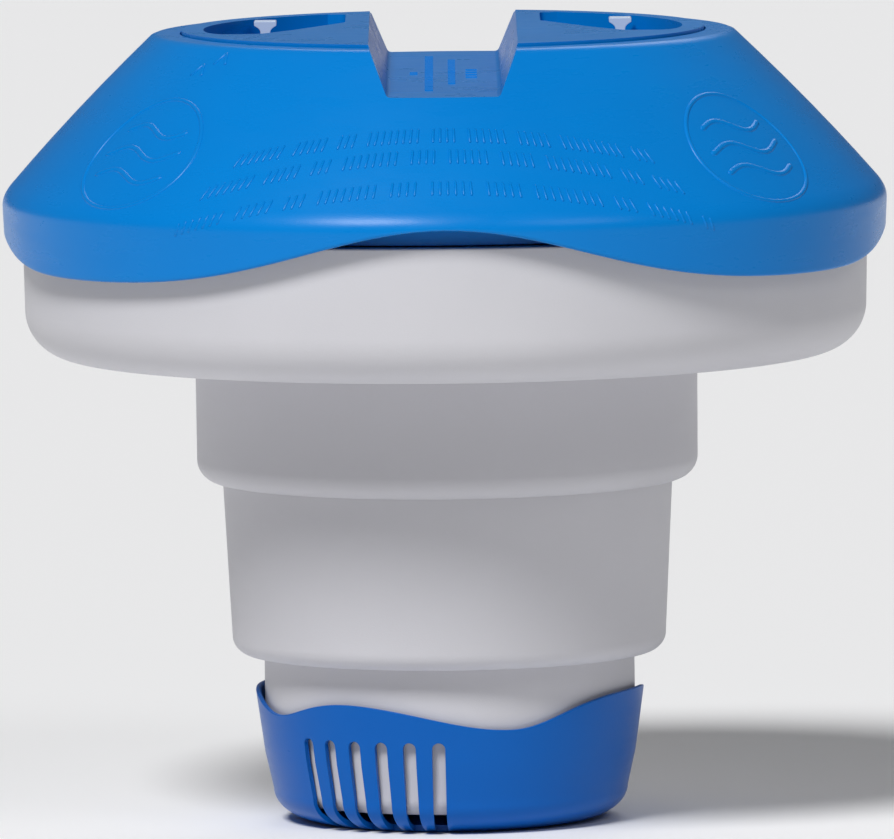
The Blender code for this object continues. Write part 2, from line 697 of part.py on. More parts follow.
def float_upper_shell(look):
    """Cover of the air chamber, with the neck, its bayonet ledges and the seat for the sleeve."""
    outer = FLOAT_TOP_RADIUS - FLOAT_WALL - GAP
    low = FLOAT_TOP_Z - FLOAT_WALL
    profile = [
        (NECK_OUTER, NECK_TOP_Z),
        (NECK_OUTER, FLOAT_TOP_Z),
        (outer, FLOAT_TOP_Z),
        (outer, low),
        (SEAT_INNER - MM, low),
        (SEAT_INNER - MM, FLOAT_TOP_Z),
        (NECK_INNER, FLOAT_TOP_Z),
        (NECK_INNER, NECK_TOP_Z),
    ]
    cover = turned("float_upper_shell", lambda angle: profile)
    ledge_low = LUG_HIGH_Z + GAP
    for count in range(LUG_COUNT):
        middle = 45 + 360 / LUG_COUNT * count
        ledge_top = ledge_low + NECK_LEDGE_HEIGHT
        inner = NECK_OUTER - MM
        add(cover, sector("ledge", inner, NECK_LEDGE_RADIUS, ledge_low, ledge_top, middle, LEDGE_SPAN))
        notch_half = KEY_WIDTH / 2 + GAP
        notch_low = (NECK_INNER - 2 * MM, -notch_half, CAP_UNDER_Z - KEY_DROP - GAP)
        notch_high = (NECK_OUTER + 2 * MM, notch_half, NECK_TOP_Z + MM)
        cut(cover, turn_about_z(box("notch", notch_low, notch_high), middle))
    finish(cover, look)


# ------------------------------------------------------------------ sleeves


def flange_profile(flange, flange_top, tube, taper):
    """Outside of a sliding flange: rubber band's groove, then a taper down to the tube."""
    low = flange_top - FLANGE_HEIGHT
    band_low = low + (FLANGE_HEIGHT - FRICTION_BAND_HEIGHT) / 2 - GAP
    band_high = band_low + FRICTION_BAND_HEIGHT + 2 * GAP
    groove = flange - FRICTION_BAND_DEPTH
    profile = [(flange, flange_top), (flange, band_high), (groove, band_high), (groove, band_low)]
    return profile + [(flange, band_low), (flange, low), (tube, low - taper)]


def sleeve_profile(head, flange_top, top_radius, foot_radius, foot_z, corner, lip):
    """A tube under its flange, with a lip turned in round its rounded foot."""
    wall = SLEEVE_WALL
    centre = (foot_radius - corner, foot_z + corner)
    profile = head + arc(centre, corner, 0, -90)
    profile += [(lip, foot_z), (lip, foot_z + wall)]
    profile += arc(centre, corner - wall, -90, 0)
    profile += [(top_radius - wall, flange_top)]
    return profile


def upper_sleeve(look):
    flange_low = FLOAT_TOP_Z + GAP
    flange_top = flange_low + FLOAT_WALL
    lip = MIDDLE_RADIUS + LIP_GAP
    head = [(UPPER_FLANGE_RADIUS, flange_top), (UPPER_FLANGE_RADIUS, flange_low), (UPPER_RADIUS, flange_low)]
    profile = sleeve_profile(
        head,
        flange_top,
        UPPER_RADIUS,
        UPPER_LOW_RADIUS,
        UPPER_FOOT_Z,
        UPPER_CORNER,
        lip,
    )
    finish(turned("upper_sleeve", lambda angle: profile), look)


def sleeve_clamp_ring(look):
    """Ring over the upper sleeve's flange, with four notches for a key."""
    low = FLOAT_TOP_Z + GAP + FLOAT_WALL + GAP
    clamp = ring("sleeve_clamp_ring", CLAMP_INNER, UPPER_FLANGE_RADIUS, low, low + CLAMP_HEIGHT)
    for count in range(4):
        notch_low = (CLAMP_INNER - 2 * MM, -3 * MM, low + CLAMP_HEIGHT / 2)
        notch_high = (CLAMP_INNER + 3 * MM, 3 * MM, low + 2 * CLAMP_HEIGHT)
        cut(clamp, turn_about_z(box("notch", notch_low, notch_high), 90 * count))
    finish(clamp, look)


def middle_top():
    """The flange's taper rests just above the upper sleeve's lip."""
    return UPPER_FOOT_Z + SLEEVE_WALL + GAP + MIDDLE_FLANGE_TAPER + FLANGE_HEIGHT


def middle_sleeve(look):
    top = middle_top()
    profile = sleeve_profile(
        flange_profile(MIDDLE_FLANGE_RADIUS, top, MIDDLE_RADIUS, MIDDLE_FLANGE_TAPER),
        top,
        MIDDLE_RADIUS,
        MIDDLE_LOW_RADIUS,
        MIDDLE_FOOT_Z,
        MIDDLE_CORNER,
        LOWER_RADIUS + LIP_GAP,
    )
    finish(turned("middle_sleeve", lambda angle: profile), look)


def friction_ring(name, flange, flange_top, look):
    """A rubber band in a flange's groove, standing slightly proud of it."""
    low = flange_top - (FLANGE_HEIGHT + FRICTION_BAND_HEIGHT) / 2
    inner = flange - FRICTION_BAND_DEPTH + GAP
    finish(ring(name, inner, flange + 0.15 * MM, low, low + FRICTION_BAND_HEIGHT), look)


def ring_outer_radius(height):
    """Outer radius of the flow ring's wall, which tapers in two straight runs."""
    if height < RING_WAIST_Z:
        low, low_radius = RING_CORNER_Z, RING_CORNER_RADIUS
        high, high_radius = RING_WAIST_Z, RING_WAIST_RADIUS
    else:
        low, low_radius = RING_WAIST_Z, RING_WAIST_RADIUS
        high, high_radius = RING_HIGH_Z, RING_TOP_RADIUS
    return low_radius + (high_radius - low_radius) * (height - low) / (high - low)


def lower_sleeve(look):
    """The tablet cup: flange, straight tube, foot that narrows inside the flow ring, ribbed floor."""
    wall = SLEEVE_WALL
    corner = LOWER_CORNER
    foot_radius = ring_outer_radius(LOWER_FLOOR_Z + corner) - RING_WALL - GAP
    corner_centre = (foot_radius - corner, LOWER_FLOOR_Z + corner)
    dome_inner = HUB_RADIUS + HUB_WALL + GAP
    dome_outer = dome_inner + wall
    dome_low = HUB_TOP_Z + GAP
    hole = PIVOT_RADIUS + GAP
    profile = flange_profile(LOWER_FLANGE_RADIUS, LOWER_TOP_Z, LOWER_RADIUS, LOWER_FLANGE_TAPER)
    profile += [(LOWER_RADIUS, LOWER_BEND_Z)]
    profile += arc(corner_centre, corner, 0, -90)
    profile += [(dome_inner, LOWER_FLOOR_Z), (dome_inner, dome_low)]
    profile += [(hole, dome_low), (hole, LOWER_BOSS_TOP_Z)]
    profile += [(dome_outer, LOWER_BOSS_TOP_Z), (dome_outer, LOWER_FLOOR_Z + wall)]
    profile += arc(corner_centre, corner - wall, -90, 0)
    profile += [(LOWER_RADIUS - wall, LOWER_BEND_Z), (LOWER_RADIUS - wall, LOWER_TOP_Z)]
    cup = turned("lower_sleeve", lambda angle: profile)
    for count in range(FLOOR_RIB_COUNT):
        half = FLOOR_RIB_WIDTH / 2
        rib_low = (dome_outer - MM, -half, LOWER_FLOOR_Z + wall / 2)
        rib_high = (foot_radius - corner, half, LOWER_BOSS_TOP_Z)
        add(cup, turn_about_z(box("rib", rib_low, rib_high), 360 / FLOOR_RIB_COUNT * (count + 0.5)))
    for angle in slot_angles(WINDOW_OFFSET):
        cut(cup, slot_cutter(angle, WINDOW_WIDTH, WINDOW_LOW_Z, WINDOW_TOP_Z, TABLET_RADIUS - 2 * MM))
    finish(cup, look)


# ------------------------------------------------------------------ flow ring


def ring_edge(angle):
    """Height of the flow ring's wavy rim, the same on both halves."""
    from_front = degrees(atan2(cos(angle), -sin(angle)))
    narrow = (from_front - NARROW_DIP_ANGLE + 90) % 180 - 90
    wide = (from_front - WIDE_DIP_ANGLE + 90) % 180 - 90
    wide_spread = WIDE_DIP_FAR_SPREAD if wide > 0 else WIDE_DIP_NEAR_SPREAD
    drop = NARROW_DIP * exp(-((narrow / NARROW_DIP_SPREAD) ** 2))
    drop += WIDE_DIP * exp(-((wide / wide_spread) ** 2))
    return RING_HIGH_Z - drop


def ring_profile(angle):
    """Section of the flow ring: wall, wide rounded corner, floor, and a hub raised in the middle."""
    edge = ring_edge(angle)
    outer_points = [(ring_outer_radius(edge), edge), (RING_WAIST_RADIUS, RING_WAIST_Z)]
    reach = RING_CORNER_RADIUS - RING_BASE_RADIUS
    for step in range(RING_CORNER_STEPS + 1):
        turn = radians(90 * step / RING_CORNER_STEPS)
        outer_points.append((RING_BASE_RADIUS + reach * cos(turn), RING_CORNER_Z * (1 - sin(turn))))
    inner_points = []
    for radius, height in reversed(outer_points):
        share = min(height / RING_CORNER_Z, 1)
        inner_points.append((radius - RING_WALL * share, height + RING_FLOOR * (1 - share)))
    hub = HUB_RADIUS + HUB_WALL
    hole = PIVOT_RADIUS + GAP
    profile = outer_points + [(HUB_RADIUS, 0), (HUB_RADIUS, HUB_FLOOR_Z), (hole, HUB_FLOOR_Z)]
    profile += [(hole, HUB_TOP_Z), (hub, HUB_TOP_Z), (hub, RING_FLOOR)]
    return profile + inner_points


def slot_angles(offset=0):
    """Angles from the front of the slots in both groups."""
    for group in (0, 180):
        for count in range(SLOT_COUNT):
            yield SLOT_FIRST_ANGLE + SLOT_STEP * count + offset + group


def slot_cutter(from_front, width, low, top, inner):
    """An upright slot with a rounded top, reaching outwards from the inner radius."""
    half = width / 2
    outline = [(-half, low), (half, low)]
    outline += arc((0, top - half), half, 0, 180, 4)
    cutter = prism("slot", outline, -RING_TOP_RADIUS * 1.2, -inner, axis="Y")
    return turn_about_z(cutter, from_front)


def flow_ring(look):
    cup = turned("flow_ring", ring_profile, RING_SEGMENTS)
    for angle in slot_angles():
        cut(cup, slot_cutter(angle, SLOT_WIDTH, -RING_FLOOR, SLOT_TOP_Z, SLOT_INNER_RADIUS))
    finish(cup, look)


def flow_pivot(screw_look, washer_look):
    """Screw and washer in the recess of the base, up into the lower sleeve's boss."""
    washer_low = washer("flow_pivot_washer", HUB_FLOOR_Z - GAP, washer_look)
    finish(flat_screw("flow_pivot_screw", washer_low - GAP, LOWER_BOSS_TOP_Z - GAP), screw_look)


def flat_screw(name, seat, tip):
    """A thin-headed screw that stays above the base."""
    head_low = SCREW_CLEARANCE
    profile = [
        (0, tip),
        (PIVOT_RADIUS, tip),
        (PIVOT_RADIUS, seat),
        (PIVOT_HEAD_RADIUS, seat),
        (PIVOT_HEAD_RADIUS, head_low),
        (0, head_low),
    ]
    return turned(name, lambda angle: profile, SMALL_SEGMENTS)


def build():
    clear_scene()
    lid_blue = material("lid_blue", BLUE, 0.35)
    cap_blue = material("cap_blue", BLUE, 0.4)
    ring_blue = material("ring_blue", DEEP_BLUE, 0.4)
    shell_white = material("shell_white", WHITE, 0.5)
    tab_white = material("tab_white", TAB_WHITE, 0.45)
    rubber = material("rubber_black", BLACK, 0.8)
    steel = material("stainless_steel", STEEL, 0.3, 1.0)

    lid_pieces(lid_blue)
    lid_inner_cap(cap_blue)
    lid_pivot(steel, steel)
    for side, word in ((-1, "left"), (1, "right")):
        latch_tab("latch_tab_" + word, side, tab_white)
        latch_spring("latch_spring_" + word, side, steel)
    cap_seal_ring(rubber)
    float_upper_shell(shell_white)
    float_lower_shell(shell_white)
    upper_sleeve(shell_white)
    sleeve_clamp_ring(shell_white)
    middle_sleeve(shell_white)
    friction_ring("middle_friction_ring", MIDDLE_FLANGE_RADIUS, middle_top(), rubber)
    lower_sleeve(shell_white)
    friction_ring("lower_friction_ring", LOWER_FLANGE_RADIUS, LOWER_TOP_Z, rubber)
    flow_ring(ring_blue)
    flow_pivot(steel, steel)


build()
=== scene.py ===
"""Looks of the floating chlorine dispenser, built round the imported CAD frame.

Metres, +Z up, the front is -Y. The mouldings, springs and rubber bands are made again here with
finer rounding than the frame has, in the same place and at the same size. The screws and washers
are the frame's own.
"""

from math import atan2, cos, degrees, exp, pi, radians, sin, sqrt

import bmesh
import bpy
from mathutils import Matrix, Vector


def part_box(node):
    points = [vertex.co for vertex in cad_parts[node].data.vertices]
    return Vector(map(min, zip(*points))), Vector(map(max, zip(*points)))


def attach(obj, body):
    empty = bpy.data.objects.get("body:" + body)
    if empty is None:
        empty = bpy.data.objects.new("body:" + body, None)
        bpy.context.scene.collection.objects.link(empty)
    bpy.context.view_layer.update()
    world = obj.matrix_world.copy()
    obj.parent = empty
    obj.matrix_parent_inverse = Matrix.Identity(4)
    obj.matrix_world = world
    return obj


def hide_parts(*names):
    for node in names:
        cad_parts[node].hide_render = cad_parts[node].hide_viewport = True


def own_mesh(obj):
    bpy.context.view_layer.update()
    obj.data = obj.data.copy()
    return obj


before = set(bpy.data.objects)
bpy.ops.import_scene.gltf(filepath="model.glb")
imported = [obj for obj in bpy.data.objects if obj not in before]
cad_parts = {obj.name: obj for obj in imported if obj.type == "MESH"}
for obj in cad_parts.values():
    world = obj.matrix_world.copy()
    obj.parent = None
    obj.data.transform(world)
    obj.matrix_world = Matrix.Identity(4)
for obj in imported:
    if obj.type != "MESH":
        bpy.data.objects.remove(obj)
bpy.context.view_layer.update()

MM = 0.001

LID_LOW, LID_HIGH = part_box("lid_skirt")
FLOAT_LOW, FLOAT_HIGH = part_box("float_lower_shell")
UPPER_LOW, UPPER_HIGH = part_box("upper_sleeve")
MIDDLE_LOW, MIDDLE_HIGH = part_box("middle_sleeve")
LOWER_LOW, LOWER_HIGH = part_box("lower_sleeve")
CAP_LOW, CAP_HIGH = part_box("lid_inner_cap")
NECK_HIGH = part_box("float_upper_shell")[1]
CLAMP_LOW, CLAMP_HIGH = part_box("sleeve_clamp_ring")
SEAL_LOW, SEAL_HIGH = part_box("cap_seal_ring")

# Driving sizes, as in the frame
LID_RADIUS = LID_HIGH.x
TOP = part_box("lid_top")[1].z
GAP = 0.4 * MM
FINE_SEGMENTS = 192
LID_WALL = 1.8 * MM
FLOAT_WALL = 1.6 * MM
SLEEVE_WALL = 1.4 * MM
RING_WALL = 1.2 * MM

FRICTION_BAND_HEIGHT = 1.4 * MM
FRICTION_BAND_DEPTH = 1.2 * MM

# Lid
SEAM_RADIUS = 60.2 * MM
LEDGE_DROP = 0.8 * MM
LEDGE_Z = TOP - LEDGE_DROP
LEDGE_RADIUS = 66.6 * MM
CONE_SLOPE = 1.055  # radius gained per height lost, at the ledge
CONE_BEND = 2.8  # half of what that slope loses per metre going down
CONE_FOOT_Z = 147.5 * MM
WIDEST_Z = 142.8 * MM
SKIRT_TAPER = 0.044
EDGE_LOW_Z = LID_LOW.z
EDGE_FRONT_RISE = 13.9 * MM
EDGE_FRONT_SPREAD = 25.5
EDGE_SIDE_RISE = 6.5 * MM
EDGE_SIDE_SPREAD = 15.0
LAP_WIDTH = 4.2 * MM
LAP_THICKNESS = 1.5 * MM
LAP_WALL = 2.2 * MM
INNER_WALL_RADIUS = 93.0 * MM
BAYONET_INNER = 72.9 * MM
BAYONET_OUTER = 74.5 * MM
BAYONET_FOOT_Z = 145.0 * MM
LUG_INNER = 70.5 * MM
LUG_LOW_Z = 146.6 * MM
LUG_HIGH_Z = 149.6 * MM
LUG_COUNT = 4
LUG_SPAN = 36.0
LEDGE_SPAN = 40.0
BOSS_RADIUS = 6.0 * MM
BOSS_FOOT_Z = 166.1 * MM
PIVOT_RADIUS = 2.0 * MM

# Cross channel
CHANNEL_TOP_WIDTH = 33.9 * MM
CHANNEL_FLOOR_WIDTH = 25.6 * MM
CHANNEL_DEPTH = 10.8 * MM
CHANNEL_FLOOR_Z = TOP - CHANNEL_DEPTH

# Raised marks: rows of grip ribs, ringed waves and arrows on the cone, ribs in the channel
GRIP_ROWS = (  # start down the cone in mm, reach in degrees, fall towards the ends in mm
    (26.2, 31.0, 8.5),
    (32.7, 34.0, 12.3),
    (42.4, 36.5, 14.3),
)
GRIP_GROUPS = (7, 5, 3, 8, 4, 6, 5, 9, 3, 6)
GRIP_STEP = 1.05
GRIP_GROUP_SPACE = 1.3
GRIP_TILT = 14
GRIP_LENGTH = 4.4 * MM
GRIP_WIDTH = 0.7 * MM
GRIP_HEIGHT = 0.24 * MM
MEDALLION_ANGLES = (-50, 50, 130, -130)
MEDALLION_SLANT = 34.0 * MM
MEDALLION_RADIUS = 17.0 * MM
MEDALLION_RIM_WIDTH = 1.2 * MM
MEDALLION_RIM_HEIGHT = 0.28 * MM
WAVE_ROWS = (-7.0 * MM, 0.0, 7.0 * MM)
WAVE_MARGIN = 4.5 * MM
WAVE_SWING = 1.8 * MM
WAVE_PITCH = 3.2 * MM
WAVE_WIDTH = 1.6 * MM
MARK_HEIGHT = 0.3 * MM
CHEVRON_PLACES = ((-46, 3.8 * MM), (-50, 7.6 * MM))
CHEVRON_TILT = 28
CHEVRON_LENGTH = 4.2 * MM
CHEVRON_WIDTH = 0.9 * MM
CHANNEL_RIB_ROWS = (  # middle, width, start, end and step in mm
    (-3.3, 1.9, -56, 56, 2.4),
    (1.9, 1.7, -34, 44, 2.4),
    (6.4, 2.6, -14, 18, 8.0),
    (-6.8, 1.8, -2, 6, 4.0),
)
CHANNEL_RIB_SINK = 0.2 * MM
CHANNEL_RIB_RISE = 0.32 * MM

# Finger wells and latches
WELL_RADIUS = 55.0 * MM
WELL_WALL = 1.5 * MM
WELL_FOOT_Z = 166.3 * MM
TAB_X = 41.0 * MM
TAB_Y = 28.0 * MM
TAB_TRAVEL = 2.5 * MM
TAB_HEAD_WIDTH = 5.2 * MM
TAB_HEAD_HEIGHT = 1.0 * MM
TAB_HEAD_TAPER = 1.6 * MM
TAB_WAIST_POWER = 2.2
TAB_STEM_WIDTH = 2.3 * MM
TAB_DEPTH = 6.0 * MM
TAB_FOOT = (7.0 * MM, 8.0 * MM)
TAB_LOW_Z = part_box("latch_tab_left")[0].z
RAIL_WALL = 1.2 * MM
SPRING_LENGTH = 7.4 * MM
SPRING_RADIUS = 1.5 * MM
SPRING_WIRE = 0.3 * MM
SPRING_TURNS = 5

# Inner cap and neck
CAP_UNDER_Z = CAP_HIGH.z - 1.8 * MM
PLUG_OUTER = 67.4 * MM
PLUG_INNER = 64.6 * MM
SEAL_GROOVE_RADIUS = 66.2 * MM
KEY_WIDTH = 6.0 * MM
KEY_DROP = 2.4 * MM
NECK_OUTER = 70.0 * MM
NECK_INNER = 68.4 * MM
NECK_LEDGE_RADIUS = 72.2 * MM
NECK_LEDGE_HEIGHT = 2.2 * MM
SEAT_INNER = 60.2 * MM
CENTRE_TUBE_INNER = 58.4 * MM
CLAMP_INNER = 59.0 * MM
CLAMP_NOTCH_WIDTH = 6.0 * MM
CLAMP_NOTCH_COUNT = 4

BAND_INNER = {
    "cap_seal_ring": SEAL_GROOVE_RADIUS + GAP,
    "middle_friction_ring": MIDDLE_HIGH.x - FRICTION_BAND_DEPTH + GAP,
    "lower_friction_ring": LOWER_HIGH.x - FRICTION_BAND_DEPTH + GAP,
}
FLOAT_LOW_RADIUS = 96.7 * MM
FLOAT_CORNER = 11.0 * MM

# Sleeves
UPPER_RADIUS = 57.9 * MM
UPPER_LOW_RADIUS = 57.6 * MM
UPPER_CORNER = 5.2 * MM
MIDDLE_RADIUS = 51.8 * MM
MIDDLE_LOW_RADIUS = 49.9 * MM
MIDDLE_CORNER = 4.2 * MM
LOWER_RADIUS = 42.6 * MM
LOWER_CORNER = 4.5 * MM
LOWER_BEND_Z = 28.0 * MM
LOWER_BOSS_TOP_Z = 9.4 * MM
FLOOR_RIB_COUNT = 8
FLOOR_RIB_WIDTH = 1.6 * MM
MIDDLE_FLANGE_TAPER = 4.4 * MM
LOWER_FLANGE_TAPER = 3.4 * MM
FLANGE_HEIGHT = 4.0 * MM

# Flow ring
RING_BASE_RADIUS = 29.0 * MM
RING_CORNER_Z = 7.5 * MM
RING_CORNER_RADIUS = 40.8 * MM
RING_WAIST_Z = 16.0 * MM
RING_WAIST_RADIUS = 42.7 * MM
RING_TOP_RADIUS = 44.8 * MM
RING_HIGH_Z = 31.0 * MM
RING_FLOOR = 1.5 * MM
NARROW_DIP = 4.8 * MM
NARROW_DIP_ANGLE = -64.0
NARROW_DIP_SPREAD = 19.0
WIDE_DIP = 6.6 * MM
WIDE_DIP_ANGLE = 19.0
WIDE_DIP_NEAR_SPREAD = 34.0
WIDE_DIP_FAR_SPREAD = 22.0
SLOT_WIDTH = 3.0 * MM
SLOT_TOP_Z = 21.7 * MM
SLOT_INNER_RADIUS = 32.0 * MM
SLOT_COUNT = 6
SLOT_STEP = 9.0
SLOT_FIRST_ANGLE = -48.6
WINDOW_OFFSET = SLOT_COUNT * SLOT_STEP
WINDOW_WIDTH = 2.6 * MM
WINDOW_LOW_Z = 10.0 * MM
WINDOW_TOP_Z = 20.5 * MM
WINDOW_INNER_RADIUS = 36.1 * MM
HUB_RADIUS = 9.0 * MM
HUB_WALL = 1.3 * MM
HUB_FLOOR_Z = 3.6 * MM


# ------------------------------------------------------------------ mesh tools


def show(item):
    """Put an object in the scene."""
    bpy.context.scene.collection.objects.link(item)


def mesh_object(name, corners, faces):
    """An object whose faces all point outwards."""
    mesh = bpy.data.meshes.new(name)
    mesh.from_pydata(corners, [], faces)
    work = bmesh.new()
    work.from_mesh(mesh)
    bmesh.ops.recalc_face_normals(work, faces=work.faces)
    work.to_mesh(mesh)
    work.free()
    made = bpy.data.objects.new(name, mesh)
    show(made)
    return made


def turned(name, profile_at, segments=FINE_SEGMENTS):
    """A closed profile of (radius, height) points carried round Z; profile_at(angle) gives it."""
    corners = []
    rows = []
    for step in range(segments):
        angle = 2 * pi * step / segments
        row = []
        for index, (radius, height) in enumerate(profile_at(angle)):
            if radius == 0 and step > 0:
                row.append(rows[0][index])
                continue
            row.append(len(corners))
            corners.append((radius * cos(angle), radius * sin(angle), height))
        rows.append(row)
    faces = []
    for step, row in enumerate(rows):
        following = rows[(step + 1) % segments]
        for index in range(len(row)):
            after = (index + 1) % len(row)
            face = list(dict.fromkeys([row[index], row[after], following[after], following[index]]))
            if len(face) > 2:
                faces.append(face)
    return mesh_object(name, corners, faces)


def softened(points, steps=4):
    """A closed outline of (x, y, fillet) with each corner rounded to its fillet radius."""
    outline = []
    count = len(points)
    for index, (x, y, fillet) in enumerate(points):
        corner = Vector((x, y))
        if not fillet:
            outline.append((x, y))
            continue
        before = Vector(points[index - 1][:2]) - corner
        after = Vector(points[(index + 1) % count][:2]) - corner
        half = before.angle(after) / 2
        wanted = fillet / max(sin(half) / cos(half), 1e-6)
        reach = min(wanted, before.length * 0.49, after.length * 0.49)
        start = corner + before.normalized() * reach
        end = corner + after.normalized() * reach
        for step in range(steps + 1):
            share = step / steps
            point = start * (1 - share) ** 2 + corner * 2 * share * (1 - share) + end * share**2
            outline.append((point.x, point.y))
    return outline


def prism(name, outline, low, high, axis="Z"):
    """A straight prism on an outline of two coordinates, from low to high along Z or Y."""
    corners = []
    for level in (low, high):
        for first, second in outline:
            corners.append((first, second, level) if axis == "Z" else (first, level, second))
    count = len(outline)
    faces = [tuple(range(count)), tuple(range(count, 2 * count))]
    for index in range(count):
        after = (index + 1) % count
        faces.append((index, after, count + after, count + index))
    return mesh_object(name, corners, faces)


def box(name, low, high):
    outline = [(low[0], low[1]), (high[0], low[1]), (high[0], high[1]), (low[0], high[1])]
    return prism(name, outline, low[2], high[2])


def ring(name, inner, outer, low, high, segments=FINE_SEGMENTS):
    profile = [(outer, high), (outer, low), (inner, low), (inner, high)]
    return turned(name, lambda angle: profile, segments)


def sector(name, inner, outer, low, high, middle, span, steps=12):
    """A block bent round Z: middle and span in degrees."""
    corners = []
    for step in range(steps + 1):
        angle = radians(middle + span * (step / steps - 0.5))
        for radius, height in ((inner, low), (outer, low), (outer, high), (inner, high)):
            corners.append((radius * cos(angle), radius * sin(angle), height))
    faces = [(0, 1, 2, 3), tuple(4 * steps + side for side in range(4))]
    for step in range(steps):
        for side in range(4):
            after = (side + 1) % 4
            base = 4 * step
            faces.append((base + side, base + after, base + 4 + after, base + 4 + side))
    return mesh_object(name, corners, faces)


def evaluated_mesh(item):
    scene_state = bpy.context.evaluated_depsgraph_get()
    return bpy.data.meshes.new_from_object(item.evaluated_get(scene_state))


def combine(target, operation, tool):
    """Join or cut target with tool, and remove tool."""
    step = target.modifiers.new("combine", "BOOLEAN")
    step.operation = operation
    step.object = tool
    step.solver = "EXACT"
    applied(target)
    bpy.data.objects.remove(tool, do_unlink=True)
    return target


def add(target, tool):
    return combine(target, "UNION", tool)


def cut(target, tool):
    return combine(target, "DIFFERENCE", tool)


def turn_about_z(item, degrees_round):
    item.data.transform(Matrix.Rotation(radians(degrees_round), 4, "Z"))
    return item


def arc(centre, radius, start, end, steps=8):
    """Points of (radius, height) round centre, from start to end degrees."""
    points = []
    for step in range(steps + 1):
        angle = radians(start + (end - start) * step / steps)
        points.append((centre[0] + radius * cos(angle), centre[1] + radius * sin(angle)))
    return points


def applied(item):
    """Replace the item's mesh by what its modifiers make of it."""
    result = evaluated_mesh(item)
    item.modifiers.clear()
    item.data = result
    return item


def round_edges(item, width, angle=35, segments=3):
    """Bevel the edges sharper than angle."""
    work = bmesh.new()
    work.from_mesh(item.data)
    bmesh.ops.remove_doubles(work, verts=work.verts, dist=0.01 * MM)
    bmesh.ops.dissolve_degenerate(work, edges=work.edges, dist=0.01 * MM)
    work.to_mesh(item.data)
    work.free()
    step = item.modifiers.new("round_edges", "BEVEL")
    step.width = width
    step.segments = segments
    step.limit_method = "ANGLE"
    step.angle_limit = radians(angle)
    step.use_clamp_overlap = True
    return applied(item)


def finish_piece(item, look, body, slot, *nodes, sharp=40):
    """Material, smooth shading, the body it rides on and the frame nodes it stands for."""
    item.data.materials.clear()
    item.data.materials.append(look)
    item.data.shade_smooth()
    item.data.set_sharp_from_angle(angle=radians(sharp))
    step = item.modifiers.new("flat_faces", "WEIGHTED_NORMAL")
    step.keep_sharp = True
    applied(item)
    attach(item, body)
    if nodes:
        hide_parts(*nodes)
    return item


# ------------------------------------------------------------------ materials


def node(tree, kind, **sockets):
    made = tree.nodes.new(kind)
    for name, value in sockets.items():
        made.inputs[name.replace("_", " ")].default_value = value
    return made


def ranged(tree, source, low, high, to_low, to_high):
    """A noise's value from low to high spread over to_low to to_high."""
    made = tree.nodes.new("ShaderNodeMapRange")
    made.inputs["From Min"].default_value = low
    made.inputs["From Max"].default_value = high
    made.inputs["To Min"].default_value = to_low
    made.inputs["To Max"].default_value = to_high
    tree.links.new(source.outputs["Fac"], made.inputs["Value"])
    return made


def moulded_plastic(name, colour, deep, roughness, grain, marks, ior=1.49, subsurface=0.0):
    """Injection-moulded plastic: slow colour drift, fine mould grain, faint wipe marks."""
    made = bpy.data.materials.new(name)
    made.use_nodes = True
    tree = made.node_tree
    link = tree.links.new
    shader = tree.nodes["Principled BSDF"]
    place = tree.nodes.new("ShaderNodeTexCoord")

    drift = node(tree, "ShaderNodeTexNoise", Scale=14.0, Detail=3.0, Roughness=0.5)
    link(place.outputs["Object"], drift.inputs["Vector"])
    mix = tree.nodes.new("ShaderNodeMix")
    mix.data_type = "RGBA"
    mix.inputs[6].default_value = (*deep, 1)
    mix.inputs[7].default_value = (*colour, 1)
    spread = ranged(tree, drift, 0.3, 0.65, 0.0, 1.0)
    link(spread.outputs["Result"], mix.inputs[0])
    link(mix.outputs[2], shader.inputs["Base Color"])

    wipe_place = node(tree, "ShaderNodeMapping")
    wipe_place.inputs["Scale"].default_value = (60, 60, 260)
    link(place.outputs["Object"], wipe_place.inputs["Vector"])
    wipe = node(tree, "ShaderNodeTexNoise", Scale=1.0, Detail=4.0, Roughness=0.65)
    link(wipe_place.outputs["Vector"], wipe.inputs["Vector"])
    rough = ranged(tree, wipe, 0.25, 0.75, roughness - marks, roughness + marks)
    link(rough.outputs["Result"], shader.inputs["Roughness"])

    fine = node(tree, "ShaderNodeTexNoise", Scale=2600.0, Detail=2.0, Roughness=0.6)
    link(place.outputs["Object"], fine.inputs["Vector"])
    broad = node(tree, "ShaderNodeTexNoise", Scale=45.0, Detail=2.0, Roughness=0.5)
    link(place.outputs["Object"], broad.inputs["Vector"])
    bump = node(tree, "ShaderNodeBump", Strength=grain, Distance=0.00006)
    link(fine.outputs["Fac"], bump.inputs["Height"])
    sink = node(tree, "ShaderNodeBump", Strength=0.25, Distance=0.0004)
    link(broad.outputs["Fac"], sink.inputs["Height"])
    link(bump.outputs["Normal"], sink.inputs["Normal"])
    link(sink.outputs["Normal"], shader.inputs["Normal"])

    shader.inputs["IOR"].default_value = ior
    shader.inputs["Subsurface Weight"].default_value = subsurface
    shader.inputs["Subsurface Radius"].default_value = (0.004, 0.004, 0.004)
    return made


def rubber(name):
    """Matt black rubber with a fine bloom."""
    return moulded_plastic(name, (0.018, 0.018, 0.02), (0.03, 0.03, 0.032), 0.75, 0.6, 0.08)


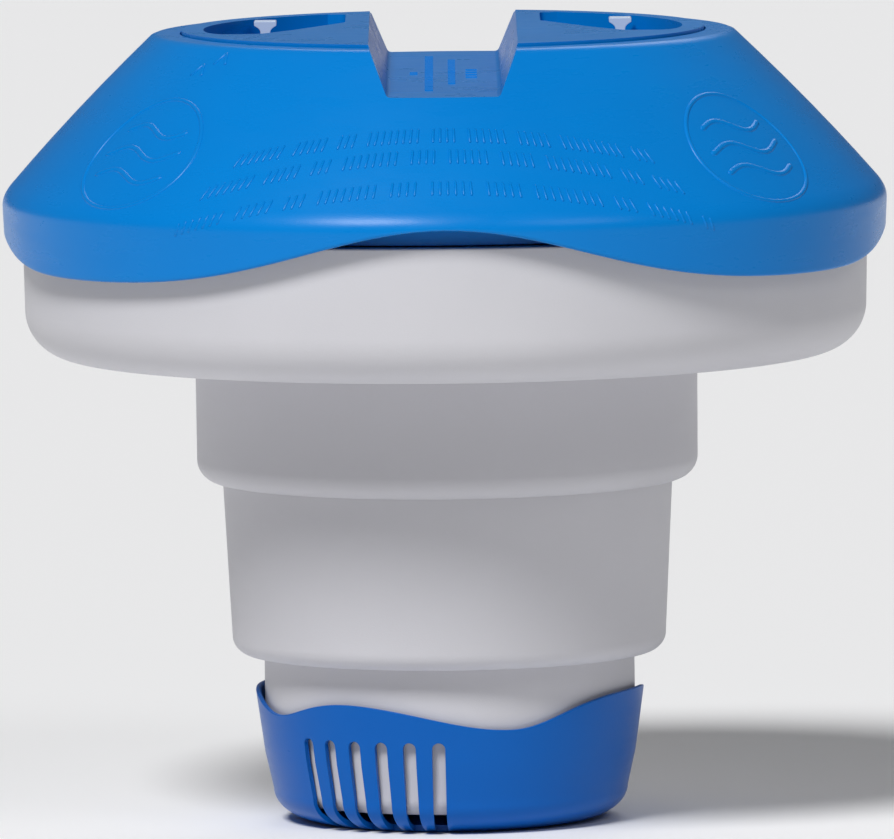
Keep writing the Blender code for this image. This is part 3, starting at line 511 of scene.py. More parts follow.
def brushed_steel(name):
    """Stainless steel, turned, with fine rings of brushing."""
    made = bpy.data.materials.new(name)
    made.use_nodes = True
    tree = made.node_tree
    shader = tree.nodes["Principled BSDF"]
    shader.inputs["Metallic"].default_value = 1.0
    place = tree.nodes.new("ShaderNodeTexCoord")
    waves = node(tree, "ShaderNodeTexNoise", Scale=900.0, Detail=3.0, Roughness=0.6)
    tree.links.new(place.outputs["Object"], waves.inputs["Vector"])
    ramp = tree.nodes.new("ShaderNodeValToRGB")
    ramp.color_ramp.elements[0].color = (0.42, 0.42, 0.43, 1)
    ramp.color_ramp.elements[1].color = (0.66, 0.66, 0.67, 1)
    tree.links.new(waves.outputs["Fac"], ramp.inputs["Fac"])
    tree.links.new(ramp.outputs["Color"], shader.inputs["Base Color"])
    rough = ranged(tree, waves, 0.0, 1.0, 0.22, 0.42)
    tree.links.new(rough.outputs["Result"], shader.inputs["Roughness"])
    bump = node(tree, "ShaderNodeBump", Strength=0.2, Distance=0.00003)
    tree.links.new(waves.outputs["Fac"], bump.inputs["Height"])
    tree.links.new(bump.outputs["Normal"], shader.inputs["Normal"])
    return made


LID_BLUE = moulded_plastic(
    "lid_blue", (0.0, 0.216, 0.655), (0.0, 0.198, 0.615), 0.29, 0.3, 0.05, 1.27
)
CAP_BLUE = moulded_plastic("cap_blue", (0.0, 0.18, 0.58), (0.0, 0.16, 0.54), 0.38, 0.35, 0.05, 1.27)
RING_BLUE = moulded_plastic(
    "ring_blue", (0.0, 0.115, 0.475), (0.0, 0.102, 0.44), 0.32, 0.3, 0.05, 1.27
)
SHELL_WHITE = moulded_plastic(
    "shell_white", (0.64, 0.635, 0.668), (0.60, 0.596, 0.632), 0.48, 0.45, 0.05, subsurface=0.08
)
# Sleeve white: the float's white plastic made darker, as painted shade from the float that
# overhangs the sleeves and the clamp ring.
SHADED_SLEEVE_WHITE = moulded_plastic(
    "sleeve_white", (0.61, 0.605, 0.64), (0.58, 0.575, 0.61), 0.50, 0.5, 0.05, subsurface=0.05
)
# Tab white: white plastic tinted blue, as painted reflection of light bounced off the blue lid and
# wells round the tabs.
TAB_WHITE_BLUE_BOUNCE = moulded_plastic("tab_white", (0.60, 0.72, 0.92), (0.56, 0.68, 0.90), 0.42, 0.3, 0.05)
BLACK_RUBBER = rubber("rubber_black")
STEEL = brushed_steel("stainless_steel")


# ------------------------------------------------------------------ lid


def folded_angle(angle):
    """Degrees from the nearer of front and back, 0 to 90."""
    from_front = abs(degrees(atan2(cos(angle), -sin(angle))))
    return min(from_front, 180 - from_front)


def lid_edge(angle):
    away = folded_angle(angle)
    front = EDGE_FRONT_RISE * exp(-((away / EDGE_FRONT_SPREAD) ** 2))
    side = EDGE_SIDE_RISE * exp(-(((90 - away) / EDGE_SIDE_SPREAD) ** 2))
    return EDGE_LOW_Z + front + side


def cone_radius(height):
    """Radius of the cone, which is slightly domed."""
    drop = LEDGE_Z - height
    return LEDGE_RADIUS + CONE_SLOPE * drop - CONE_BEND * drop**2


def cone_height(radius):
    """Height at which the cone has that radius."""
    root = sqrt(CONE_SLOPE**2 - 4 * CONE_BEND * (radius - LEDGE_RADIUS))
    return LEDGE_Z - (CONE_SLOPE - root) / (2 * CONE_BEND)


def skirt_radius(height):
    """Outer radius from the cone's foot down: a smooth turn into the nearly upright skirt."""
    if height >= CONE_FOOT_Z:
        return cone_radius(height)
    if height <= WIDEST_Z:
        return LID_RADIUS - (WIDEST_Z - height) * SKIRT_TAPER
    span = CONE_FOOT_Z - WIDEST_Z
    share = (CONE_FOOT_Z - height) / span
    start = cone_radius(CONE_FOOT_Z)
    start_slope = (CONE_SLOPE - 2 * CONE_BEND * (LEDGE_Z - CONE_FOOT_Z)) * span
    blend_start = (1 + 2 * share) * (1 - share) ** 2
    blend_end = share * share * (3 - 2 * share)
    return blend_start * start + share * (1 - share) ** 2 * start_slope + blend_end * LID_RADIUS


def lid_outside(angle):
    """The lid's outer skin, closed below by a plane across the skirt."""
    edge = lid_edge(angle)
    rows = 22
    low = edge + 0.6 * MM
    profile = [(0, TOP), (SEAM_RADIUS, TOP), (SEAM_RADIUS, LEDGE_Z)]
    profile += [(LEDGE_RADIUS - 1.2 * MM, LEDGE_Z), (LEDGE_RADIUS - 0.5 * MM, LEDGE_Z - 0.1 * MM)]
    for drop in (0.5, 1.2, 6.0, 12.0, 18.0, 24.0, 29.0):
        profile.append((cone_radius(LEDGE_Z - drop * MM), LEDGE_Z - drop * MM))
    for row in range(rows + 1):
        height = CONE_FOOT_Z + (low - CONE_FOOT_Z) * row / rows
        profile.append((skirt_radius(height), height))
    foot = skirt_radius(edge)
    profile += [(foot - 0.12 * MM, edge + 0.25 * MM), (foot - 0.4 * MM, edge + 0.06 * MM)]
    profile += [(foot - 0.7 * MM, edge), (LID_RADIUS - 3 * LID_WALL, edge)]
    profile += [(0, EDGE_LOW_Z - LID_WALL)]
    return profile


def lid_inside(angle):
    """The space inside the lid's skin, running out below it."""
    slant = LID_WALL * sqrt(2)
    top = TOP - LID_WALL
    inner = LID_RADIUS - LID_WALL
    foot = EDGE_LOW_Z - 5 * LID_WALL
    profile = [(0, top), (LEDGE_RADIUS - LID_WALL / 2, top - LEDGE_DROP)]
    for drop in (10.0, 20.0, 30.0):
        profile.append((cone_radius(LEDGE_Z - drop * MM), LEDGE_Z - drop * MM - slant))
    for share in (0, 0.35, 0.7, 1):
        height = CONE_FOOT_Z + (WIDEST_Z - CONE_FOOT_Z) * share
        profile.append((min(skirt_radius(height), inner), height - slant))
    return profile + [(inner, foot), (0, foot)]


def channel_outline(spread, fillet):
    slope = (CHANNEL_TOP_WIDTH - CHANNEL_FLOOR_WIDTH) / 2 / CHANNEL_DEPTH
    above = 8 * MM
    floor_half = CHANNEL_FLOOR_WIDTH / 2 + spread * sqrt(1 + slope * slope) - slope * spread
    top_half = floor_half + slope * (CHANNEL_DEPTH + spread + above)
    floor_z = CHANNEL_FLOOR_Z - spread
    points = [(-floor_half, floor_z, fillet), (floor_half, floor_z, fillet)]
    points += [(top_half, TOP + above, 0), (-top_half, TOP + above, 0)]
    return softened(points)


def channel_prism(name, spread, fillet=0):
    reach = 1.2 * LID_RADIUS
    return prism(name, channel_outline(spread, fillet), -reach, reach, axis="Y")


def well_outline(grow):
    """The half-moon outline of the right-hand well: outer arc, blunt end, slanting inner edge."""
    round_arc = arc((0, 0), WELL_RADIUS + grow, -13, 61, 30)
    side = 22.5 * MM - grow
    points = [(x, y, 0) for x, y in round_arc]
    points += [
        (side, 47.6 * MM + grow, 3 * MM),
        (side, 19.5 * MM, 5 * MM),
        (34.5 * MM - grow, -5.0 * MM - grow / 2, 8 * MM),
        (41.5 * MM - grow, -16.5 * MM - grow, 4 * MM),
        (51.0 * MM + grow / 2, -17.3 * MM - grow, 3 * MM),
    ]
    return softened(points, 6)


def well_prism(name, side, grow, low):
    outline = [(side * x, y) for x, y in well_outline(grow)]
    return prism(name, outline, low, TOP + 4 * MM)


def lid_skin():
    """The lid's skin with the walls of the channel and wells, both still filled."""
    skin = turned("lid_skirt_fine", lid_outside)
    hollow = turned("hollow", lid_inside)
    cut(hollow, channel_prism("channel_wall", LID_WALL))
    for side in (-1, 1):
        cut(hollow, well_prism("well_wall", side, WELL_WALL, WELL_FOOT_Z))
    return cut(skin, hollow)


def add_lid_walls(skin):
    """Wall over the float's rim, bayonet wall with its lugs, and the pivot's boss."""
    outer = INNER_WALL_RADIUS
    wall_low = FLOAT_HIGH.z + GAP
    wall_top = cone_height(outer) - LID_WALL / 2
    add(skin, ring("inner_wall", outer - LID_WALL, outer, wall_low, wall_top))
    bayonet_top = cone_height(BAYONET_OUTER) - LID_WALL / 3
    add(skin, ring("bayonet", BAYONET_INNER, BAYONET_OUTER, BAYONET_FOOT_Z, bayonet_top))
    lug_outer = BAYONET_INNER + LID_WALL / 2
    for count in range(LUG_COUNT):
        middle = 360 / LUG_COUNT * count
        add(skin, sector("lug", LUG_INNER, lug_outer, LUG_LOW_Z, LUG_HIGH_Z, middle, LUG_SPAN))
    add(skin, ring("boss", 0, BOSS_RADIUS, BOSS_FOOT_Z, CHANNEL_FLOOR_Z - LID_WALL / 2, 48))


def open_lid(skin):
    """Cut the channel, the wells and the pivot's hole."""
    cut(skin, channel_prism("channel", 0, 1.2 * MM))
    for side in (-1, 1):
        cut(skin, well_prism("well", side, 0, BAYONET_FOOT_Z))
    hole_top = CHANNEL_FLOOR_Z - LID_WALL / 2
    cut(skin, ring("hole", 0, PIVOT_RADIUS + GAP, BOSS_FOOT_Z - LID_WALL, hole_top, 32))


def top_lap():
    """The step of the lid's top that reaches under the ledge, in two halves beside the channel."""
    wall_outer = SEAM_RADIUS - 2 * GAP
    wall_inner = wall_outer - LAP_WALL
    wall_top = LEDGE_Z - LEDGE_DROP / 2
    high = LEDGE_Z - LID_WALL - GAP
    low = high - LAP_THICKNESS
    reach = SEAM_RADIUS + LAP_WIDTH
    profile = [(wall_outer, wall_top), (wall_outer, high), (reach, high)]
    profile += [(reach, low), (wall_inner, low), (wall_inner, wall_top)]
    lap = turned("lap", lambda angle: profile)
    return cut(lap, channel_prism("channel_way", LID_WALL + GAP))


def lid():
    """The lid's skirt and its top, two mouldings that meet at the foot of the pad."""
    skirt = lid_skin()
    add_lid_walls(skirt)
    open_lid(skirt)
    top = bpy.data.objects.new("lid_top_fine", skirt.data.copy())
    show(top)
    below = EDGE_LOW_Z - LID_WALL
    above = TOP + LID_WALL
    combine(top, "INTERSECT", ring("core", 0, SEAM_RADIUS - GAP / 2, below, above))
    add(top, top_lap())
    cut(skirt, ring("core", 0, SEAM_RADIUS + GAP / 2, below, above))
    round_edges(skirt, 0.7 * MM)
    round_edges(top, 0.6 * MM)
    finish_piece(skirt, LID_BLUE, "lid", "lid_blue", "lid_skirt")
    finish_piece(top, LID_BLUE, "lid", "lid_blue", "lid_top")


# ------------------------------------------------------------------ raised marks on the lid


def cone_point(from_front, slant, lift):
    """A point on the lid's outside, slant metres down from the ledge's corner along the cone."""
    drop = slant / sqrt(1 + CONE_SLOPE**2)
    height = LEDGE_Z - drop
    slope = CONE_SLOPE - 2 * CONE_BEND * drop
    run = sqrt(1 + slope**2)
    radius = skirt_radius(height)
    angle = radians(from_front - 90)
    normal = Vector((cos(angle) / run, sin(angle) / run, slope / run))
    return Vector((radius * cos(angle), radius * sin(angle), height)) + normal * lift


def ridge(corners, faces, centre, path, width, height, closed=False):
    """A low half-round ridge on the cone along a path of (across, down) offsets in metres."""
    middle_angle, middle_slant = centre
    around = skirt_radius(LEDGE_Z - middle_slant / sqrt(1 + CONE_SLOPE**2))
    section = [(-1, -0.3), (-0.8, 0.35), (-0.45, 0.85), (0, 1)]
    section += [(0.45, 0.85), (0.8, 0.35), (1, -0.3)]
    count = len(path)
    base = len(corners)
    for index, point in enumerate(path):
        before = Vector(path[index - 1 if closed else max(index - 1, 0)])
        after = Vector(path[(index + 1) % count if closed else min(index + 1, count - 1)])
        along = (after - before).normalized()
        side = Vector((-along.y, along.x))
        is_end = not closed and index in (0, count - 1)
        scale = 0.45 if is_end else 1.0
        for across, lift in section:
            place = Vector(point) + side * across * width / 2 * scale
            angle = middle_angle + degrees(place.x / around)
            lifted = lift * height * (scale if lift > 0 else 1)
            corners.append(cone_point(angle, middle_slant + place.y, lifted))
    size = len(section)
    for index in range(count if closed else count - 1):
        low = base + index * size
        high = base + (index + 1) % count * size
        for part in range(size):
            after = (part + 1) % size
            faces.append((low + part, low + after, high + after, high + part))
    if not closed:
        faces.append(tuple(base + part for part in reversed(range(size))))
        faces.append(tuple(base + (count - 1) * size + part for part in range(size)))


def bar(length, tilt):
    """A straight path of that length, turned by tilt degrees from the downward direction."""
    way = Vector((sin(radians(tilt)), cos(radians(tilt)))) * length / 2
    return [tuple(way * share) for share in (-1, -0.86, 0, 0.86, 1)]


def grip_rows(corners, faces):
    """Three curved rows of small upright ribs over the front arch, in uneven groups."""
    for start_slant, reach, fall in GRIP_ROWS:
        from_front = -reach
        counted = 0
        group = 0
        while from_front < reach:
            share = from_front / reach
            slant = (start_slant + fall * share * share) * MM
            path = bar(GRIP_LENGTH, GRIP_TILT * share)
            ridge(corners, faces, (from_front, slant), path, GRIP_WIDTH, GRIP_HEIGHT)
            counted += 1
            from_front += GRIP_STEP
            if counted == GRIP_GROUPS[group % len(GRIP_GROUPS)]:
                counted = 0
                group += 1
                from_front += GRIP_GROUP_SPACE


def medallions(corners, faces):
    """A plain ring with three wave lines in it, low on each side of the front and of the back."""
    radius = MEDALLION_RADIUS
    circle_steps = 96
    wave_steps = 40
    circle = []
    for step in range(circle_steps):
        angle = 2 * pi * step / circle_steps
        circle.append((radius * cos(angle), radius * sin(angle)))
    for middle in MEDALLION_ANGLES:
        centre = (middle, MEDALLION_SLANT)
        rim = (MEDALLION_RIM_WIDTH, MEDALLION_RIM_HEIGHT)
        ridge(corners, faces, centre, circle, *rim, closed=True)
        for row in WAVE_ROWS:
            half = sqrt(radius**2 - row**2) - WAVE_MARGIN
            wave = []
            for part in range(wave_steps + 1):
                across = -half + 2 * half * part / wave_steps
                wave.append((across, row + WAVE_SWING * sin(across / WAVE_PITCH)))
            ridge(corners, faces, centre, wave, WAVE_WIDTH, MARK_HEIGHT)


def chevrons(corners, faces):
    """Two small open arrow marks near the top edge."""
    for place in CHEVRON_PLACES:
        for side in (1, -1):
            shift = side * CHEVRON_WIDTH
            path = [(x + shift, y) for x, y in bar(CHEVRON_LENGTH, side * CHEVRON_TILT)]
            ridge(corners, faces, place, path, CHEVRON_WIDTH, MARK_HEIGHT)


def lid_marks():
    corners = []
    faces = []
    grip_rows(corners, faces)
    medallions(corners, faces)
    chevrons(corners, faces)
    finish_piece(mesh_object("lid_marks", corners, faces), LID_BLUE, "lid", "lid_blue", sharp=70)


def channel_ribs():
    """Two rows of small cross ribs and two short blocks on the channel's floor."""
    low = CHANNEL_FLOOR_Z - CHANNEL_RIB_SINK
    high = CHANNEL_FLOOR_Z + CHANNEL_RIB_RISE
    corners = []
    faces = []
    for middle, width, start, end, step in CHANNEL_RIB_ROWS:
        place = start
        while place < end:
            base = len(corners)
            left = (middle - width / 2) * MM
            right = (middle + width / 2) * MM
            section = ((place, low), (place + 0.15, high), (place + 0.75, high), (place + 0.9, low))
            for y, z in section:
                corners.append((left, y * MM, z))
                corners.append((right, y * MM, z))
            for index in (0, 2, 4):
                faces.append((base + index, base + index + 1, base + index + 3, base + index + 2))
            faces.append((base + 6, base + 7, base + 1, base))
            faces.append((base, base + 2, base + 4, base + 6))
            faces.append((base + 1, base + 3, base + 5, base + 7))
            place += step
    finish_piece(mesh_object("channel_ribs", corners, faces), LID_BLUE, "lid", "lid_blue")


# ------------------------------------------------------------------ inner cap and latches


def sided_box(name, side, low, high):
    """A box given for the right-hand side, mirrored to the left where side is -1."""
    first = side * low[0]
    second = side * high[0]
    return box(name, (min(first, second), low[1], low[2]), (max(first, second), high[1], high[2]))


def lid_inner_cap():
    """Flat cap with a plug below it, keys, a seal groove and a guide for each latch."""
    hole = PIVOT_RADIUS + GAP
    soft = 0.4 * MM
    groove_low = SEAL_LOW.z - GAP
    groove_high = SEAL_HIGH.z + GAP
    rim = CAP_HIGH.x
    plug = PLUG_OUTER
    foot = CAP_LOW.z
    profile = [(hole, CAP_HIGH.z), (rim - soft, CAP_HIGH.z), (rim, CAP_HIGH.z - soft)]
    profile += [(rim, CAP_UNDER_Z + soft), (rim - soft, CAP_UNDER_Z), (plug, CAP_UNDER_Z)]
    profile += [(plug, groove_high), (SEAL_GROOVE_RADIUS, groove_high)]
    profile += [(SEAL_GROOVE_RADIUS, groove_low), (plug, groove_low)]
    profile += [(plug, foot + 0.6 * MM), (plug - 0.6 * MM, foot), (PLUG_INNER, foot)]
    profile += [(PLUG_INNER, CAP_UNDER_Z), (hole, CAP_UNDER_Z)]
    cap = turned("lid_inner_cap_fine", lambda angle: profile)
    for count in range(LUG_COUNT):
        key_low = (PLUG_OUTER - 0.5 * MM, -KEY_WIDTH / 2, CAP_UNDER_Z - KEY_DROP)
        key_high = (rim - 0.5 * MM, KEY_WIDTH / 2, CAP_UNDER_Z + 0.5 * MM)
        add(cap, turn_about_z(box("key", key_low, key_high), 45 + 360 / LUG_COUNT * count))
    for side in (-1, 1):
        add_latch_guide(cap, side)
    round_edges(cap, 0.2 * MM, 50, 2)
    finish_piece(cap, CAP_BLUE, "inner_cap", "cap_blue", "lid_inner_cap")


def add_latch_guide(cap, side):
    """Rails each side of a tab's foot, a stop for its spring, and the slot for its stem."""
    foot_length, foot_depth = TAB_FOOT
    foot_outer = TAB_X + foot_length / 2 + GAP
    stop = TAB_X - foot_length / 2 - SPRING_LENGTH
    top = (CAP_UNDER_Z + CAP_HIGH.z) / 2
    rail_inner = foot_depth / 2 + GAP
    low = TAB_LOW_Z - GAP
    for direction in (-1, 1):
        near = TAB_Y + direction * rail_inner
        edges = sorted((near, TAB_Y + direction * (rail_inner + RAIL_WALL)))
        rail_low = (stop - RAIL_WALL, edges[0], low)
        rail_high = (foot_outer, edges[1], top)
        add(cap, sided_box("rail", side, rail_low, rail_high))
    stop_low = (stop - RAIL_WALL, TAB_Y - rail_inner - RAIL_WALL / 2, low)
    stop_high = (stop, TAB_Y + rail_inner + RAIL_WALL / 2, top)
    add(cap, sided_box("stop", side, stop_low, stop_high))
    half_stem = TAB_STEM_WIDTH / 2 + GAP
    slot_low = (TAB_X - half_stem - TAB_TRAVEL, TAB_Y - TAB_DEPTH / 2 - GAP, CAP_UNDER_Z - MM)
    slot_high = (TAB_X + half_stem, TAB_Y + TAB_DEPTH / 2 + GAP, CAP_HIGH.z + MM)
    cut(cap, sided_box("slot", side, slot_low, slot_high))


def latch_tab(word, side):
    """A thin bar on a waisted stem, with the guided foot under the cap."""
    head = TAB_HEAD_WIDTH / 2
    stem = TAB_STEM_WIDTH / 2
    foot_length, foot_depth = TAB_FOOT
    foot_top = CAP_UNDER_Z - GAP
    head_low = TOP - TAB_HEAD_HEIGHT
    soft = 0.25 * MM
    half = [(stem, foot_top - MM), (stem, head_low - TAB_HEAD_TAPER)]
    for step in range(1, 9):
        share = step / 8
        x = stem + (head - stem) * share**TAB_WAIST_POWER
        half.append((x, head_low - TAB_HEAD_TAPER * (1 - share)))
    half += [(head, TOP - soft), (head - soft * 0.3, TOP - soft * 0.3), (head - soft, TOP)]
    outline = half + [(-x, z) for x, z in reversed(half)]
    outline = [(side * TAB_X + x, z) for x, z in outline]
    name = "latch_tab_" + word
    tab = prism(name + "_fine", outline, TAB_Y - TAB_DEPTH / 2, TAB_Y + TAB_DEPTH / 2, axis="Y")
    foot_low = (TAB_X - foot_length / 2, TAB_Y - foot_depth / 2, TAB_LOW_Z)
    foot_high = (TAB_X + foot_length / 2, TAB_Y + foot_depth / 2, foot_top)
    add(tab, sided_box("foot", side, foot_low, foot_high))
    round_edges(tab, 0.2 * MM, 40, 2)
    finish_piece(tab, TAB_WHITE_BLUE_BOUNCE, "latch_" + word, "tab_white", name)


def latch_spring(word, side):
    """A fine coil between a tab's foot and its stop; on the real object it shortens as the tab is
    pressed, but here it is rigid.
    """
    name = "latch_spring_" + word
    start = TAB_X - TAB_FOOT[0] / 2 - SPRING_WIRE - GAP
    length = SPRING_LENGTH - 2 * (SPRING_WIRE + GAP)
    centre_z = (TAB_LOW_Z + CAP_UNDER_Z - GAP) / 2
    per_turn = 28
    curve = bpy.data.curves.new(name, "CURVE")
    curve.dimensions = "3D"
    curve.bevel_depth = SPRING_WIRE
    curve.bevel_resolution = 3
    curve.use_fill_caps = True
    count = SPRING_TURNS * per_turn + 1
    path = curve.splines.new("POLY")
    path.points.add(count - 1)
    for index in range(count):
        angle = 2 * pi * index / per_turn
        along = start - length * index / (count - 1)
        across = TAB_Y + SPRING_RADIUS * cos(angle)
        path.points[index].co = (side * along, across, centre_z + SPRING_RADIUS * sin(angle), 1)
    drawn = bpy.data.objects.new(name + "_path", curve)
    show(drawn)
    mesh = evaluated_mesh(drawn)
    bpy.data.objects.remove(drawn, do_unlink=True)
    spring = bpy.data.objects.new(name + "_fine", mesh)
    show(spring)
    finish_piece(spring, STEEL, "inner_cap", "stainless_steel", name, sharp=60)
    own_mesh(spring)


def rubber_bands():
    """The cap's seal and the two friction bands, each with rounded edges."""
    for name, body in (
        ("cap_seal_ring", "inner_cap"),
        ("middle_friction_ring", "middle"),
        ("lower_friction_ring", "lower"),
    ):
        low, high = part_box(name)
        inner = BAND_INNER[name]
        soft = 0.3 * MM
        profile = arc((high.x - soft, high.z - soft), soft, 90, 0, 4)
        profile += arc((high.x - soft, low.z + soft), soft, 0, -90, 4)
        profile += arc((inner + soft, low.z + soft), soft, -90, -180, 4)
        profile += arc((inner + soft, high.z - soft), soft, 180, 90, 4)
        band = turned(name + "_fine", lambda angle: profile)
        finish_piece(band, BLACK_RUBBER, body, "rubber_black", name)


# ------------------------------------------------------------------ float


def float_lower_shell():
    """A ring-shaped trough: outer wall, rounded corner, floor and centre tube."""
    wall = FLOAT_WALL
    tube = CENTRE_TUBE_INNER
    floor = FLOAT_LOW.z
    top = FLOAT_HIGH.z
    corner_centre = (FLOAT_LOW_RADIUS - FLOAT_CORNER, floor + FLOAT_CORNER)
    tube_top = top - wall - GAP
    outer = FLOAT_HIGH.x
    soft = 0.5 * MM
    profile = [(outer - wall, top - 0.2 * MM), (outer - wall + 0.2 * MM, top)]
    profile += arc((outer - soft, top - soft), soft, 90, 0, 5)
    profile += arc(corner_centre, FLOAT_CORNER, 0, -90, 20)
    profile += [(tube + 0.5 * MM, floor), (tube, floor + 0.5 * MM)]
    profile += [(tube, tube_top), (tube + wall, tube_top), (tube + wall, floor + wall)]
    profile += arc(corner_centre, FLOAT_CORNER - wall, -90, 0, 12)
    lower = turned("float_lower_fine", lambda angle: profile)
    finish_piece(lower, SHELL_WHITE, "float", "shell_white", "float_lower_shell")


def float_upper_shell():
    """Cover of the air chamber, with the neck, its bayonet ledges and the seat for the sleeve."""
    outer = FLOAT_HIGH.x - FLOAT_WALL - GAP
    top = FLOAT_HIGH.z
    low = top - FLOAT_WALL
    neck_top = NECK_HIGH.z
    soft = 0.3 * MM
    profile = [(NECK_OUTER - soft, neck_top), (NECK_OUTER, neck_top - soft), (NECK_OUTER, top)]
    profile += [(outer, top), (outer, low), (SEAT_INNER - MM, low), (SEAT_INNER - MM, top)]
    profile += [(NECK_INNER, top), (NECK_INNER, neck_top - soft), (NECK_INNER + soft, neck_top)]
    cover = turned("float_upper_fine", lambda angle: profile)
    ledge_low = LUG_HIGH_Z + GAP
    for count in range(LUG_COUNT):
        middle = 45 + 360 / LUG_COUNT * count
        ledge_top = ledge_low + NECK_LEDGE_HEIGHT
        inner = NECK_OUTER - MM
        span = (middle, LEDGE_SPAN)
        add(cover, sector("ledge", inner, NECK_LEDGE_RADIUS, ledge_low, ledge_top, *span))
        notch_half = KEY_WIDTH / 2 + GAP
        notch_low = (NECK_INNER - 2 * MM, -notch_half, CAP_UNDER_Z - KEY_DROP - GAP)
        notch_high = (NECK_OUTER + 2 * MM, notch_half, neck_top + MM)
        cut(cover, turn_about_z(box("notch", notch_low, notch_high), middle))
    round_edges(cover, 0.2 * MM, 50, 2)
    finish_piece(cover, SHELL_WHITE, "float", "shell_white", "float_upper_shell")


# ------------------------------------------------------------------ sleeves


def sleeve_profile(head, flange_top, top_radius, foot_radius, foot_z, corner, lip):
    """A tube under its flange, with a lip turned in round its rounded foot."""
    wall = SLEEVE_WALL
    centre = (foot_radius - corner, foot_z + corner)
    soft = 0.35 * MM
    profile = head + arc(centre, corner, 0, -90, 14)
    profile += [(lip + soft, foot_z), (lip + soft * 0.3, foot_z + soft * 0.3), (lip, foot_z + soft)]
    profile += [(lip, foot_z + wall)]
    profile += arc(centre, corner - wall, -90, 0, 10)
    profile += [(top_radius - wall, flange_top)]
    return profile


def flange_profile(flange, flange_top, tube, taper):
    """Outside of a sliding flange: rubber band's groove, then a taper down to the tube."""
    low = flange_top - FLANGE_HEIGHT
    band_low = low + (FLANGE_HEIGHT - FRICTION_BAND_HEIGHT) / 2 - GAP
    band_high = band_low + FRICTION_BAND_HEIGHT + 2 * GAP
    groove = flange - FRICTION_BAND_DEPTH
    soft = 0.3 * MM
    profile = [(flange - soft, flange_top), (flange, flange_top - soft), (flange, band_high)]
    profile += [(groove, band_high), (groove, band_low), (flange, band_low)]
    return profile + [(flange, low), (tube, low - taper)]


def upper_sleeve():
    flange = UPPER_HIGH.x
    flange_low = FLOAT_HIGH.z + GAP
    lip = MIDDLE_RADIUS + GAP
    head = [(flange, UPPER_HIGH.z), (flange, flange_low), (UPPER_RADIUS, flange_low)]
    profile = sleeve_profile(
        head, UPPER_HIGH.z, UPPER_RADIUS, UPPER_LOW_RADIUS, UPPER_LOW.z, UPPER_CORNER, lip
    )
    sleeve = turned("upper_sleeve_fine", lambda angle: profile)
    finish_piece(sleeve, SHADED_SLEEVE_WHITE, "float", "sleeve_white", "upper_sleeve")


def sleeve_clamp_ring():
    """Ring over the upper sleeve's flange, with four notches for a key."""
    low = CLAMP_LOW.z
    high = CLAMP_HIGH.z
    clamp = ring("sleeve_clamp_fine", CLAMP_INNER, CLAMP_HIGH.x, low, high)
    half = CLAMP_NOTCH_WIDTH / 2
    for count in range(CLAMP_NOTCH_COUNT):
        notch_low = (CLAMP_INNER - 2 * MM, -half, (low + high) / 2)
        notch_high = (CLAMP_INNER + 3 * MM, half, high + MM)
        turn = 360 / CLAMP_NOTCH_COUNT * count
        cut(clamp, turn_about_z(box("notch", notch_low, notch_high), turn))
    round_edges(clamp, 0.3 * MM, 50, 2)
    finish_piece(clamp, SHADED_SLEEVE_WHITE, "float", "sleeve_white", "sleeve_clamp_ring")


def middle_sleeve():
    top = MIDDLE_HIGH.z
    head = flange_profile(MIDDLE_HIGH.x, top, MIDDLE_RADIUS, MIDDLE_FLANGE_TAPER)
    lip = LOWER_RADIUS + GAP
    profile = sleeve_profile(
        head, top, MIDDLE_RADIUS, MIDDLE_LOW_RADIUS, MIDDLE_LOW.z, MIDDLE_CORNER, lip
    )
    sleeve = turned("middle_sleeve_fine", lambda angle: profile)
    finish_piece(sleeve, SHADED_SLEEVE_WHITE, "middle", "sleeve_white", "middle_sleeve")


def lower_sleeve():
    """The tablet cup: flange, tube, foot that narrows inside the flow ring, ribbed floor."""
    wall = SLEEVE_WALL
    corner = LOWER_CORNER
    floor = LOWER_LOW.z
    top = LOWER_HIGH.z
    foot_radius = ring_outer_radius(floor + corner) - RING_WALL - GAP
    centre = (foot_radius - corner, floor + corner)
    dome_inner = HUB_RADIUS + HUB_WALL + GAP
    dome_outer = dome_inner + wall
    dome_low = HUB_FLOOR_Z + RING_FLOOR + GAP
    hole = PIVOT_RADIUS + GAP
    tube_inner = LOWER_RADIUS - wall
    profile = flange_profile(LOWER_HIGH.x, top, LOWER_RADIUS, LOWER_FLANGE_TAPER)
    profile += [(LOWER_RADIUS, LOWER_BEND_Z)] + arc(centre, corner, 0, -90, 10)
    profile += [(dome_inner, floor), (dome_inner, dome_low)]
    profile += [(hole, dome_low), (hole, LOWER_BOSS_TOP_Z), (dome_outer, LOWER_BOSS_TOP_Z)]
    profile += [(dome_outer, floor + wall)] + arc(centre, corner - wall, -90, 0, 8)
    profile += [(tube_inner, LOWER_BEND_Z), (tube_inner, top)]
    cup = turned("lower_sleeve_fine", lambda angle: profile)
    for count in range(FLOOR_RIB_COUNT):
        half = FLOOR_RIB_WIDTH / 2
        rib_low = (dome_outer - MM, -half, floor + wall / 2)
        rib_high = (foot_radius - corner, half, LOWER_BOSS_TOP_Z)
        rib = turn_about_z(box("rib", rib_low, rib_high), 360 / FLOOR_RIB_COUNT * (count + 0.5))
        add(cup, rib)
    for angle in slot_angles(WINDOW_OFFSET):
        cut(cup, slot_cutter(angle, WINDOW_WIDTH, WINDOW_LOW_Z, WINDOW_TOP_Z, WINDOW_INNER_RADIUS))
    round_edges(cup, 0.2 * MM, 50, 2)
    finish_piece(cup, SHADED_SLEEVE_WHITE, "lower", "sleeve_white", "lower_sleeve")


# ------------------------------------------------------------------ flow ring


